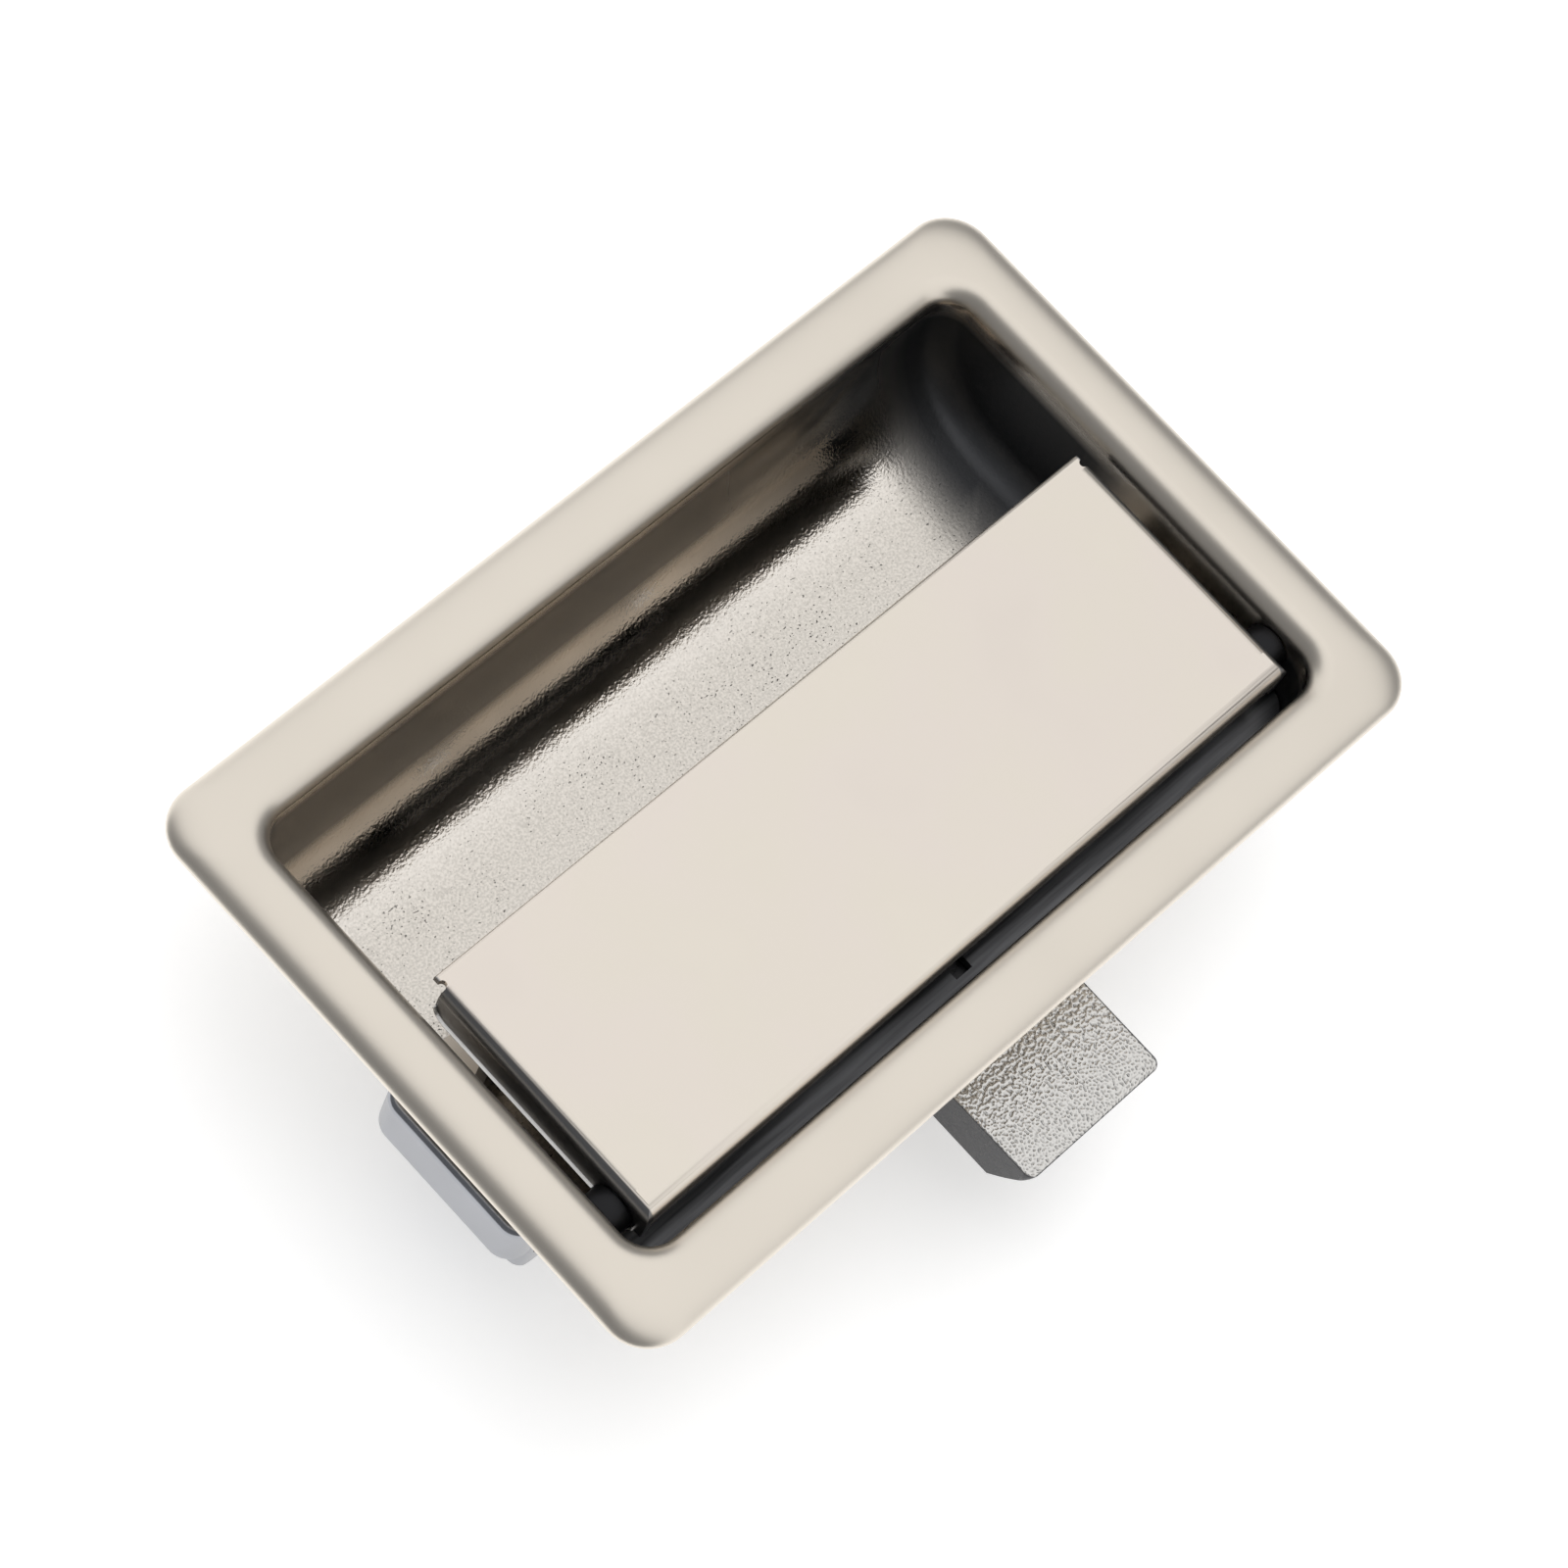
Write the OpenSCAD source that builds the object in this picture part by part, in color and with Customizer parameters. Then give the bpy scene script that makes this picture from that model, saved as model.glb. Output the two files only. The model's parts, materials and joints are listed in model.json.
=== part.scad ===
// Recessed paddle latch for a toolbox: a drawn pan, a hinged paddle, a spring bolt and two panel clamps.
// The origin is the middle of the flange on the panel's face. X runs along the long side, +Y towards the
// finger trough, so the bolt points along -Y, and +Z points out of the panel.

/* [Pan] */
// Length of the recess inside
recess_w = 95; // [80:0.5:130]
// Width of the recess inside
recess_d = 55; // [50:0.5:70]
// Depth of the recess below the panel's face
recess_depth = 17.2; // [15.5:0.1:22]
// Radius of the recess's corners and floor edges
corner_r = 3.5; // [2.5:0.1:3.8]
// Depth at which the far wall starts to curve into the finger trough
trough_start = 3; // [0.9:0.1:4]
// Thickness of the drawn sheet
pan_t = 1.2; // [0.8:0.1:1.3]
// Width of the flange round the recess
flange_band = 7.5; // [7:0.1:12]
// Corner radius of the flange
flange_corner_r = 5; // [4:0.1:8]
// Height of the flange's face above the panel
flange_h = 1.6; // [1.4:0.1:2.2]
// Radius of the flange's rolled outer edge
edge_roll_r = 2.8; // [2.4:0.1:3.6]
// Radius of the bend from the flange into the recess
mouth_roll_r = 2.4; // [2.2:0.1:3]

/* [Paddle] */
// Depth of the paddle from its hinge edge to its free edge
paddle_d = 30.8; // [28:0.1:34]
// Height of the paddle's face above the panel
paddle_top = 0.8; // [0.4:0.1:1.2]
// Thickness of the paddle's sheet
paddle_t = 1; // [0.8:0.1:1.2]
// Gap between the paddle and the recess wall
paddle_gap = 2.5; // [2:0.1:3.5]
// Outer radius of the paddle's bends
paddle_bend_r = 1.5; // [1.3:0.1:2]
// Height of the bent cheeks
cheek_h = 5.2; // [4:0.1:6]
// Height of the rear hem
hem_h = 3; // [2:0.1:3.4]
// Depth of the narrow lip at the free edge
lip_d = 1.6; // [1.2:0.1:2.4]
// Step from the cheek's face in to the lip's end
lip_step = 0.7; // [0.4:0.1:1]
// Radius of the relief at the lip's root
relief_r = 0.45; // [0.3:0.05:0.6]

/* [Hinge] */
// Diameter of the hinge pin
pin_d = 3; // [2.5:0.1:3.2]
// Distance from the paddle's rear edge to the pin's axis
pin_inset = 3.8; // [3.7:0.1:4.4]
// Distance from the paddle's face down to the pin's axis
pin_drop = 4; // [3.9:0.1:4.6]
// Radius of the ear round the pin
ear_r = 3; // [2.6:0.1:3.4]
// Thickness of the pin's head
pin_head_t = 1; // [0.8:0.1:1.4]
// Outer diameter of the spacers on the pin
spacer_d = 5; // [4.4:0.1:5.6]
// Thickness of the clip on the pin's end
clip_t = 0.7; // [0.5:0.1:0.9]
// Wire diameter of the paddle springs
paddle_wire_d = 0.8; // [0.6:0.05:0.9]
// Turns in each paddle spring, with half a turn more between its legs
paddle_turns = 5; // [3:1:7]

/* [Bolt] */
// Width of the bolt
bolt_w = 18.9; // [14:0.1:22]
// Thickness of the bolt
bolt_t = 6.8; // [5.5:0.1:7.2]
// Distance that the bolt stands out past the flange's edge
bolt_reach = 10.4; // [6:0.1:14]
// Radius of the nose's slope, which swells a little
nose_r = 40; // [9:0.5:60]
// Length over which the nose rises from the underside to the tip
nose_run = 4; // [3:0.1:6]
// Corner radius of the tip seen from above
tip_corner_r = 1.1; // [0.8:0.1:3]
// Thickness of the cross-head
head_t = 4.5; // [4:0.1:5.5]
// Depth of the spring pockets in the cross-head
pocket_depth = 2; // [1.5:0.1:2.6]
// Length of the bolt springs at rest
bolt_spring_len = 13.6; // [13:0.1:15]
// Outer diameter of the bolt springs
bolt_spring_d = 5; // [4.4:0.1:5.2]
// Wire diameter of the bolt springs
bolt_wire_d = 0.7; // [0.5:0.05:0.8]
// Turns in each bolt spring
bolt_turns = 6; // [5:1:7]

/* [Brackets] */
// Thickness of the bolt guide's sheet
guide_t = 1.2; // [1:0.1:1.4]
// Width of the guide's feet
guide_foot_w = 6; // [5:0.1:8]
// Width of the slot for the spring legs
leg_slot_w = 2.2; // [2.1:0.1:3]
// Thickness of the drive yoke's sheet
yoke_t = 1.5; // [1.2:0.1:2]
// Length of the yoke's plate along the paddle
yoke_plate_d = 9.3; // [7:0.1:12]
// Thickness of the spring stop's sheet
stop_t = 1.2; // [1:0.1:1.5]
// Length of the spring stop's foot
stop_foot_d = 6.4; // [5.6:0.1:7]
// Diameter of the rivets
rivet_d = 2; // [1.6:0.1:2.4]
// Diameter of the rivets' heads
rivet_head_d = 3.6; // [3:0.1:3.8]

/* [Clamps] */
// Width of each clamp
clamp_w = 19.8; // [14:0.1:21]
// Place of the clamps' middle across the recess
clamp_y = -8.4; // [-8.4:0.1:6]
// Panel thickness that the clamps are set to
grip = 4.3; // [4.2:0.1:6]
// Height of the clamp's pad
pad_h = 8.6; // [6:0.1:10]
// Distance from the flange's edge in to the pad's face
pad_inset = 0.5; // [0.2:0.1:1.5]
// Corner radius of the pad
pad_corner_r = 2.5; // [1.5:0.1:2.6]
// Radius along the pad's upper edge
pad_roll_r = 0.8; // [0.4:0.1:1.2]
// Radius along the pad's lower edge
pad_low_r = 1.4; // [1.2:0.1:1.5]
// Thickness of the clamp's web
web_t = 2.4; // [2:0.1:3.5]
// Step from the pad's ends in to the web and the foot
web_step = 0.4; // [0.2:0.1:1]
// Thickness of the clamp's foot
foot_t = 2.4; // [2:0.1:3.5]
// Room between the pan's floor and the clamp's foot
foot_gap = 2.6; // [2.6:0.1:4]
// Distance from the wall of the pan in to the weld stud
stud_inset = 7.2; // [6.5:0.1:10]
// Diameter of the weld studs
stud_d = 4; // [3:0.5:5]
// Length of the stud past the nut
stud_spare = 3.6; // [3.2:0.1:6]

/* [Clearances] */
// Play between the pin and what turns on it
pin_play = 0.05; // [0.03:0.01:0.1]
// Play of a pin, rivet or peg in its seat
seat_play = 0.02; // [0.01:0.01:0.04]
// Play between the bolt and the floor, the guide and the guide's stop
bolt_play = 0.2; // [0.15:0.01:0.3]
// Play between the bolt and its window in the wall
window_play = 0.25; // [0.2:0.01:0.4]
// Gap between the yoke's arms and the cross-head at rest
drive_gap = 0.4; // [0.35:0.01:0.6]
// Gap between the yoke's tips and the feet that stop them
rest_gap = 0.1; // [0.05:0.01:0.2]
// Gap between the coils of a spring and the pin or peg inside it
coil_gap = 0.2; // [0.15:0.01:0.3]
// Gap at the ends of a spacer, a clip or a spring's leg
end_gap = 0.05; // [0.03:0.01:0.1]
// Gap between the clamps and the pan's wall
clamp_gap = 0.6; // [0.4:0.1:1]

/* [Hidden] */
$fn = 64;

nickel = [0.90, 0.87, 0.82];
cast_grey = [0.74, 0.73, 0.71];
zinc_blue = [0.66, 0.67, 0.70];
spring_steel = [0.45, 0.45, 0.47];
bright_steel = [0.72, 0.72, 0.73];
black_steel = [0.27, 0.27, 0.28];

// Depth of a cut that has to pass right through
through = 4;

// Pan
floor_z = -recess_depth;
under_z = floor_z - pan_t;
wall_x = recess_w / 2 + pan_t;
flange_w = recess_w + 2 * flange_band;
flange_d = recess_d + 2 * flange_band;
edge_run = sqrt(edge_roll_r ^ 2 - (edge_roll_r - flange_h) ^ 2);
mouth_z = flange_h - mouth_roll_r;
trough_r = recess_depth - trough_start;
trough_y = recess_d / 2 - trough_r;

// Paddle and hinge
paddle_w = recess_w - 2 * paddle_gap;
paddle_rear = -recess_d / 2 + paddle_gap;
paddle_front = paddle_rear + paddle_d;
paddle_under = paddle_top - paddle_t;
cheek_front = paddle_front - lip_d;
cheek_low = paddle_top - cheek_h;
cheek_nose_r = 2;
lip_nose_r = 0.4;
pin_r = pin_d / 2;
pin_y = paddle_rear + pin_inset;
pin_z = paddle_top - pin_drop;
clip_wall = 1.1;
clip_r = pin_r + clip_wall;
clip_snap = 0.25;
clip_groove = 0.3;
clip_x = wall_x + 2 * end_gap;
pin_tail = 0.6;

// Paddle springs
paddle_wire_r = paddle_wire_d / 2;
coil_r = pin_r + coil_gap + paddle_wire_r;
coil_space = 0.15;
coil_pitch = paddle_wire_d + coil_space;
leg_x = leg_slot_w / 2 - end_gap - paddle_wire_r;

// Bolt
bolt_low = floor_z + bolt_play;
bolt_top = bolt_low + bolt_t;
bolt_tip = -flange_d / 2 - bolt_reach;
nose_chord = norm([nose_run, bolt_t]);
nose_rise = sqrt(nose_r ^ 2 - (nose_chord / 2) ^ 2);
nose_y = bolt_tip + nose_run / 2 + nose_rise * bolt_t / nose_chord;
nose_z = bolt_low + bolt_t / 2 + nose_rise * nose_run / nose_chord;

// Guide and yoke
inner_bend_r = 0.4;
guide_half = bolt_w / 2 + bolt_play + guide_t;
guide_top = bolt_top + bolt_play + guide_t;
guide_bend_r = guide_t + inner_bend_r;
arm_half = coil_r - paddle_wire_r - end_gap;
arm_floor_gap = 0.65;
arm_tip_z = floor_z + arm_floor_gap + arm_half;
arm_side_gap = 1;
ear_relief = 0.1;
arm_ear_r = paddle_under - pin_z - ear_relief;
yoke_half = guide_half + guide_foot_w + arm_side_gap + yoke_t;
yoke_bend_r = yoke_t + inner_bend_r;
coil_room = 0.9;
yoke_rear = pin_y + coil_r + paddle_wire_r + coil_room;
gusset_drop = 3.5;
hook_z = guide_top + paddle_wire_r + coil_gap;
hook_over = 0.6;
hook_bend_r = 1;

// Cross-head, from the arms that push it
head_front = pin_y + arm_half + drive_gap;
head_rear = head_front + head_t;
head_over = 1.5;
head_half = yoke_half + head_over;
head_corner_r = 1;
spring_x = (bolt_w / 2 + head_half) / 2;
spring_z = (bolt_low + bolt_top) / 2;
bolt_spring_r = (bolt_spring_d - bolt_wire_d) / 2;
pocket_r = bolt_spring_d / 2 + coil_gap;
spring_front = head_rear - pocket_depth;

// Guide feet and the slot for the spring legs
guide_rear = head_front - bolt_play;
guide_front = -recess_d / 2 + bolt_play;
fillet_gap = 0.1;
foot_front = -recess_d / 2 + corner_r + fillet_gap;
foot_top = floor_z + guide_t;
tip_bite = sqrt(arm_half ^ 2 - (arm_tip_z - foot_top) ^ 2);
rest_y = pin_y - tip_bite - rest_gap;
guide_rivet_x = guide_half + guide_foot_w / 2;
guide_rivet_y = (foot_front + guide_rear) / 2;
slot_rear = pin_y - coil_r + paddle_wire_r + end_gap;
slot_spare = 2.15;
slot_front = slot_rear - paddle_wire_d - slot_spare;
apron_half = recess_w / 2 - bolt_play;
apron_gap = 0.45;
apron_rear = pin_y - arm_half - apron_gap;
apron_corner_r = corner_r - bolt_play;

// Spring stop
stop_y = spring_front + bolt_spring_len;
stop_side_gap = 0.6;
stop_half = recess_w / 2 - corner_r - stop_side_gap;
stop_top = guide_top;
stop_bend_r = stop_t + inner_bend_r;
stop_rivet_inset = 2.5;
stop_rivet_x = spring_x - stop_rivet_inset;
stop_rivet_y = stop_y + stop_bend_r + (stop_foot_d - stop_bend_r) / 2;
peg_r = bolt_spring_r - bolt_wire_d / 2 - coil_gap;
peg_len = 2.4;
peg_shank_r = 1;

// Rivets
rivet_head_h = 0.9;
rivet_tail_h = 0.7;

// Clamps
pad_x = wall_x + clamp_gap;
pad_out = flange_w / 2 - pad_inset;
pad_low = -grip - pad_h;
foot_hi = under_z - foot_gap;
foot_low = foot_hi - foot_t;
foot_bend_r = 6;
stud_x = wall_x - stud_inset;
stud_margin = 5;

// Washer and nut, in the proportions that the stud's size sets
washer_r = 1.15 * stud_d;
washer_t = 0.8;
nut_flats = 1.75 * stud_d;
nut_h = 0.8 * stud_d;
nut_turn_angle = 30;
nut_top = foot_low - washer_t;
stud_low = nut_top - nut_h - stud_spare;
thread_play = 0.05;
weld_bead = 0.5;
stud_hole_play = 0.2;

// Direction of v with length one
function unit(v) = v / norm(v);

// Direction of a path at its point i
function tangent(path, i) = unit(path[min(i + 1, len(path) - 1)] - path[max(i - 1, 0)]);

// Normals carried along a path without twist, from a first normal
function normals(path, n, i = 0) =
    i >= len(path) ? [] :
    let (t = tangent(path, i), m = unit(n - (n * t) * t))
    concat([m], normals(path, m, i + 1));

// Round wire swept along a path
module wire(path, r, first_normal, sides = 8) {
    n = normals(path, first_normal);
    last = len(path) - 1;
    rings = [
        for (i = [0:last], k = [0:sides - 1])
        let (a = 360 * k / sides, t = tangent(path, i))
        path[i] + r * (cos(a) * n[i] + sin(a) * cross(t, n[i]))
    ];
    skin = [
        for (i = [0:last - 1], k = [0:sides - 1])
        let (a = i * sides + k, b = i * sides + (k + 1) % sides)
        [a, a + sides, b + sides, b]
    ];
    first_cap = [[for (k = [0:sides - 1]) k]];
    last_cap = [[for (k = [sides - 1:-1:0]) last * sides + k]];
    polyhedron(rings, concat(skin, first_cap, last_cap), convexity = 10);
}

// Outline drawn as [x, z], carried along Y
module along_y(y0, y1) {
    translate([0, y1, 0]) rotate([90, 0, 0]) linear_extrude(y1 - y0) children();
}

// Outline drawn as [y, z], carried along X
module along_x(x0, x1) {
    translate([x0, 0, 0]) rotate([90, 0, 90]) linear_extrude(x1 - x0) children();
}

// Cylinder along X
module rod_x(x0, x1, r) {
    translate([x0, 0, 0]) rotate([0, 90, 0]) cylinder(r = r, h = x1 - x0);
}

// Cylinder along Y
module rod_y(y0, y1, r) {
    translate([0, y1, 0]) rotate([90, 0, 0]) cylinder(r = r, h = y1 - y0);
}

// Rectangle between two corners
module span(a, b) {
    translate(a) square(b - a);
}

// Rectangle with round corners, about the origin
module rounded_rect(w, d, r) {
    square([w - 2 * r, d], center = true);
    square([w, d - 2 * r], center = true);
    for (x = [-1, 1], y = [-1, 1]) translate([x * (w / 2 - r), y * (d / 2 - r)]) circle(r);
}

// An outline drawn as [distance out, z], carried round a rectangle with round corners
module round_sweep(w, d, r) {
    for (q = [0:3]) {
        half = (q % 2 == 0 ? w : d) / 2 - r;
        run = (q % 2 == 0 ? d : w) / 2 - r;
        rotate([0, 0, 90 * q]) {
            translate([half, 0, 0]) along_y(-run, run) translate([r, 0]) children();
            translate([half, run, 0]) rotate_extrude(angle = 90) translate([r, 0]) children();
        }
    }
}

// Section of an edge that rolls down from the top, drawn as [distance out, z]
module rolled_edge(roll, top, low) {
    intersection() {
        translate([0, top - roll]) circle(roll);
        span([0, max(low, top - roll)], [roll, top]);
    }
    if (low < top - roll) span([0, low], [roll, top - roll]);
}

// Slab with a rolled upper edge, of which w, d and r are the flat top
module rolled_slab(w, d, r, roll, top, low) {
    translate([0, 0, low]) linear_extrude(top - low) rounded_rect(w, d, r);
    round_sweep(w, d, r) rolled_edge(roll, top, low);
}

// Block with one rounded corner, which is its upper left one and lies at the origin
module corner_block(r, w, h) {
    span([r, -h], [w, 0]);
    span([0, -h], [r, -r]);
    translate([r, -r]) circle(r);
}

// Upright bar whose lower right corner is round, drawn from its left edge at zero
module foot_round(r, low, top) {
    span([0, low + r], [r, top]);
    intersection() {
        translate([0, low + r]) circle(r);
        span([0, low], [r, low + r]);
    }
}

// Outline of an arch with round shoulders, and the bent sheet between two of them
module arch(half, top, bend, low) {
    span([-half, low], [half, top - bend]);
    span([bend - half, low], [half - bend, top]);
    for (s = [-1, 1]) translate([s * (half - bend), top - bend]) circle(bend);
}

module channel(half, top, t, bend, low) {
    difference() {
        arch(half, top, bend, low);
        arch(half - t, top - t, bend - t, low - through);
    }
}

// Space of the recess grown outwards by g, with the trough along its far side
module recess_form(g, top) {
    r = corner_r + g;
    x = recess_w / 2 + g - r;
    near = -recess_d / 2 - g + r;
    far = recess_d / 2 + g - r;
    low = floor_z - g;
    deep = trough_r + g;
    trough_z = floor_z + trough_r;
    along_x(-x, x) {
        span([near, low], [trough_y, top]);
        translate([near, 0]) mirror([1, 0]) foot_round(r, low, top);
    }
    for (s = [0, 1]) mirror([s, 0, 0]) {
        along_y(near, trough_y) translate([x, 0]) foot_round(r, low, top);
        translate([x, near, 0]) rotate([0, 0, -90]) rotate_extrude(angle = 90) foot_round(r, low, top);
    }
    translate([0, trough_y, trough_z]) rotate([0, 90, 0]) rotate_extrude(angle = 90) {
        span([0, -x], [deep, x]);
        for (s = [0, 1]) mirror([0, s]) {
            span([0, x], [deep - r, x + r]);
            intersection() {
                translate([deep - r, x]) circle(r);
                span([deep - r, x], [deep, x + r]);
            }
        }
    }
    translate([0, 0, trough_z]) linear_extrude(top - trough_z) {
        span([-x, trough_y], [x, far + r]);
        for (s = [0, 1]) mirror([s, 0]) {
            span([x, trough_y], [x + r, far]);
            intersection() {
                translate([x, far]) circle(r);
                span([x, far], [x + r, far + r]);
            }
        }
    }
}

// Section of the bend from the recess wall out to the flange
module mouth_bend() {
    intersection() {
        translate([mouth_roll_r, mouth_z]) difference() {
            circle(mouth_roll_r);
            circle(mouth_roll_r - pan_t);
        }
        span([0, mouth_z], [mouth_roll_r, flange_h]);
    }
}

// Flange with its rolled edge, open in the middle
module flange() {
    w = flange_w - 2 * edge_run;
    d = flange_d - 2 * edge_run;
    r = flange_corner_r - edge_run;
    difference() {
        rolled_slab(w, d, r, edge_roll_r, flange_h, 0);
        rolled_slab(w, d, r, edge_roll_r - pan_t, flange_h - pan_t, -through);
        translate([0, 0, -through]) linear_extrude(2 * through)
            rounded_rect(recess_w + 2 * mouth_roll_r, recess_d + 2 * mouth_roll_r, corner_r + mouth_roll_r);
    }
}

module recess_pan() {
    window_half = bolt_w / 2 + window_play;
    window_low = floor_z + end_gap;
    color(nickel) difference() {
        union() {
            flange();
            round_sweep(recess_w, recess_d, corner_r) mouth_bend();
            difference() {
                recess_form(pan_t, mouth_z);
                recess_form(0, mouth_z + through);
            }
        }
        along_y(-recess_d / 2 - through, foot_front)
            span([-window_half, window_low], [window_half, bolt_top + window_play]);
        translate([0, pin_y, pin_z]) rod_x(-wall_x - through, wall_x + through, pin_r + seat_play);
        rivet_holes(guide_rivet_x, guide_rivet_y);
        rivet_holes(stop_rivet_x, stop_rivet_y);
    }
}

// Hinge pin as a turned piece along X: head on the left, clip groove on the right
module hinge_pin() {
    head_x = -wall_x - 2 * end_gap;
    head_r = spacer_d / 2;
    groove_r = pin_r - clip_groove;
    groove_end = clip_x + clip_t + end_gap;
    color(bright_steel) translate([0, pin_y, pin_z]) rotate([0, 90, 0]) rotate_extrude() polygon([
        [0, head_x - pin_head_t],
        [head_r - clip_groove, head_x - pin_head_t],
        [head_r, head_x - pin_head_t + clip_groove],
        [head_r, head_x],
        [pin_r, head_x],
        [pin_r, clip_x - end_gap],
        [groove_r, clip_x - end_gap],
        [groove_r, groove_end],
        [pin_r, groove_end],
        [pin_r, groove_end + pin_tail - clip_groove],
        [groove_r, groove_end + pin_tail],
        [0, groove_end + pin_tail]
    ]);
}

// Open clip that snaps into the pin's groove
module pin_clip() {
    bore_r = pin_r - clip_groove + seat_play;
    mouth = bore_r - clip_snap;
    color(spring_steel) translate([clip_x, pin_y, pin_z]) difference() {
        rod_x(0, clip_t, clip_r);
        rod_x(-through, through, bore_r);
        along_x(-through, through) span([-mouth, -2 * clip_r], [mouth, 0]);
    }
}

// Tube between a paddle ear and the end wall
module spacer(side) {
    x0 = paddle_w / 2 + 2 * end_gap;
    x1 = recess_w / 2 - 2 * end_gap;
    color(black_steel) mirror([side < 0 ? 1 : 0, 0, 0]) translate([0, pin_y, pin_z]) difference() {
        rod_x(x0, x1, spacer_d / 2);
        rod_x(x0 - through, x1 + through, pin_r + pin_play);
    }
}

module spacer_left() { spacer(-1); }

module spacer_right() { spacer(1); }

// Outline from above of the guide's apron, which closes the gap behind the paddle
module apron_plan() {
    side = apron_half - apron_corner_r;
    span([-side, guide_front], [side, apron_rear]);
    span([-apron_half, guide_front + apron_corner_r], [apron_half, apron_rear]);
    for (s = [-1, 1]) translate([s * side, guide_front + apron_corner_r]) intersection() {
        circle(apron_corner_r);
        span([-apron_corner_r, -apron_corner_r], [apron_corner_r, 0]);
    }
}

// Hat-shaped keeper over the bolt, with its apron and the slot that the paddle springs' legs push against
module bolt_guide() {
    color(black_steel) difference() {
        union() {
            along_y(foot_front, guide_rear) channel(guide_half, guide_top, guide_t, guide_bend_r, floor_z);
            translate([0, 0, guide_top - guide_t]) linear_extrude(guide_t) apron_plan();
            for (s = [0, 1]) mirror([s, 0, 0]) translate([0, 0, floor_z]) linear_extrude(guide_t) {
                span([guide_half - guide_t, foot_front], [guide_half + guide_foot_w, guide_rear]);
                span([guide_half, foot_front], [yoke_half + arm_side_gap, rest_y]);
            }
        }
        along_y(slot_front, slot_rear)
            span([-leg_slot_w / 2, bolt_top], [leg_slot_w / 2, guide_top + through]);
        rivet_holes(guide_rivet_x, guide_rivet_y);
    }
}

// Upright bracket behind the bolt springs, as long as the recess, which keeps fingers out of them
module spring_stop() {
    h = stop_top - floor_z;
    color(bright_steel) difference() {
        intersection() {
            along_x(-stop_half, stop_half) difference() {
                translate([stop_y, floor_z]) mirror([0, 1]) corner_block(stop_bend_r, stop_foot_d, h);
                translate([stop_y + stop_t, floor_z + stop_t]) mirror([0, 1])
                    corner_block(stop_bend_r - stop_t, stop_foot_d, h);
            }
            along_y(stop_y - through, stop_y + 2 * stop_foot_d) arch(stop_half, stop_top, stop_bend_r, floor_z);
        }
        for (s = [-1, 1]) translate([s * spring_x, 0, spring_z])
            rod_y(stop_y - through, stop_y + through, peg_shank_r + seat_play);
        rivet_holes(stop_rivet_x, stop_rivet_y);
    }
}

// Pegs that centre the bolt springs, riveted into the stop
module spring_pegs() {
    color(bright_steel) for (s = [-1, 1]) translate([s * spring_x, 0, spring_z]) {
        rod_y(stop_y - peg_len, stop_y, peg_r);
        rod_y(stop_y, stop_y + stop_t, peg_shank_r);
        rod_y(stop_y + stop_t, stop_y + stop_t + rivet_tail_h, peg_r);
    }
}

// Pair of holes through the floor and the bracket on it
module rivet_holes(x, y) {
    for (s = [-1, 1]) translate([s * x, y, under_z - through])
        cylinder(r = rivet_d / 2 + seat_play, h = pan_t + 2 * through);
}

// Dome of radius r and height h, standing on z
module rivet_dome(r, h, z) {
    dome_r = (r ^ 2 + h ^ 2) / (2 * h);
    intersection() {
        translate([0, z + h - dome_r]) circle(dome_r);
        span([0, z], [r, z + h]);
    }
}

// Pair of rivets through the floor and a bracket of thickness t
module rivet_pair(x, y, t) {
    for (s = [-1, 1]) translate([s * x, y, 0]) rotate_extrude() {
        span([0, under_z], [rivet_d / 2, floor_z + t]);
        rivet_dome(rivet_head_d / 2, rivet_head_h, floor_z + t);
        translate([0, 2 * under_z]) mirror([0, 1]) rivet_dome(rivet_head_d / 2, rivet_tail_h, under_z);
    }
}

module guide_rivets() { color(black_steel) rivet_pair(guide_rivet_x, guide_rivet_y, guide_t); }

module stop_rivets() { color(bright_steel) rivet_pair(stop_rivet_x, stop_rivet_y, stop_t); }

// Stud welded under the floor, with its weld bead and a chamfered end
module stud(side) {
    r = stud_d / 2;
    color(bright_steel) translate([side * stud_x, clamp_y, 0]) rotate_extrude() polygon([
        [0, under_z],
        [r + weld_bead, under_z],
        [r, under_z - weld_bead],
        [r, stud_low + weld_bead],
        [r - weld_bead, stud_low],
        [0, stud_low]
    ]);
}

module stud_left() { stud(-1); }

module stud_right() { stud(1); }

// Torsion spring on the pin: one leg in the guide's slot, the other hooked in front of the yoke's arm
module paddle_spring(side) {
    steps = 14;
    turns = paddle_turns + 0.5;
    end_x = leg_x + coil_pitch * turns;
    hook_y = pin_y + coil_r;
    path = concat(
        [[leg_x, pin_y - coil_r, guide_top - guide_t + end_gap]],
        [for (k = [0:turns * steps])
            let (a = 180 - 360 * k / steps)
            [leg_x + coil_pitch * k / steps, pin_y + coil_r * cos(a), pin_z + coil_r * sin(a)]],
        [for (a = [0:30:90])
            [end_x + hook_bend_r * (1 - cos(a)), hook_y, hook_z + hook_bend_r * (1 - sin(a))]],
        [[yoke_half + hook_over, hook_y, hook_z]]
    );
    color(spring_steel) mirror([side < 0 ? 1 : 0, 0, 0]) wire(path, paddle_wire_r, [1, 0, 0]);
}

module paddle_spring_left() { paddle_spring(-1); }

module paddle_spring_right() { paddle_spring(1); }

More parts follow.
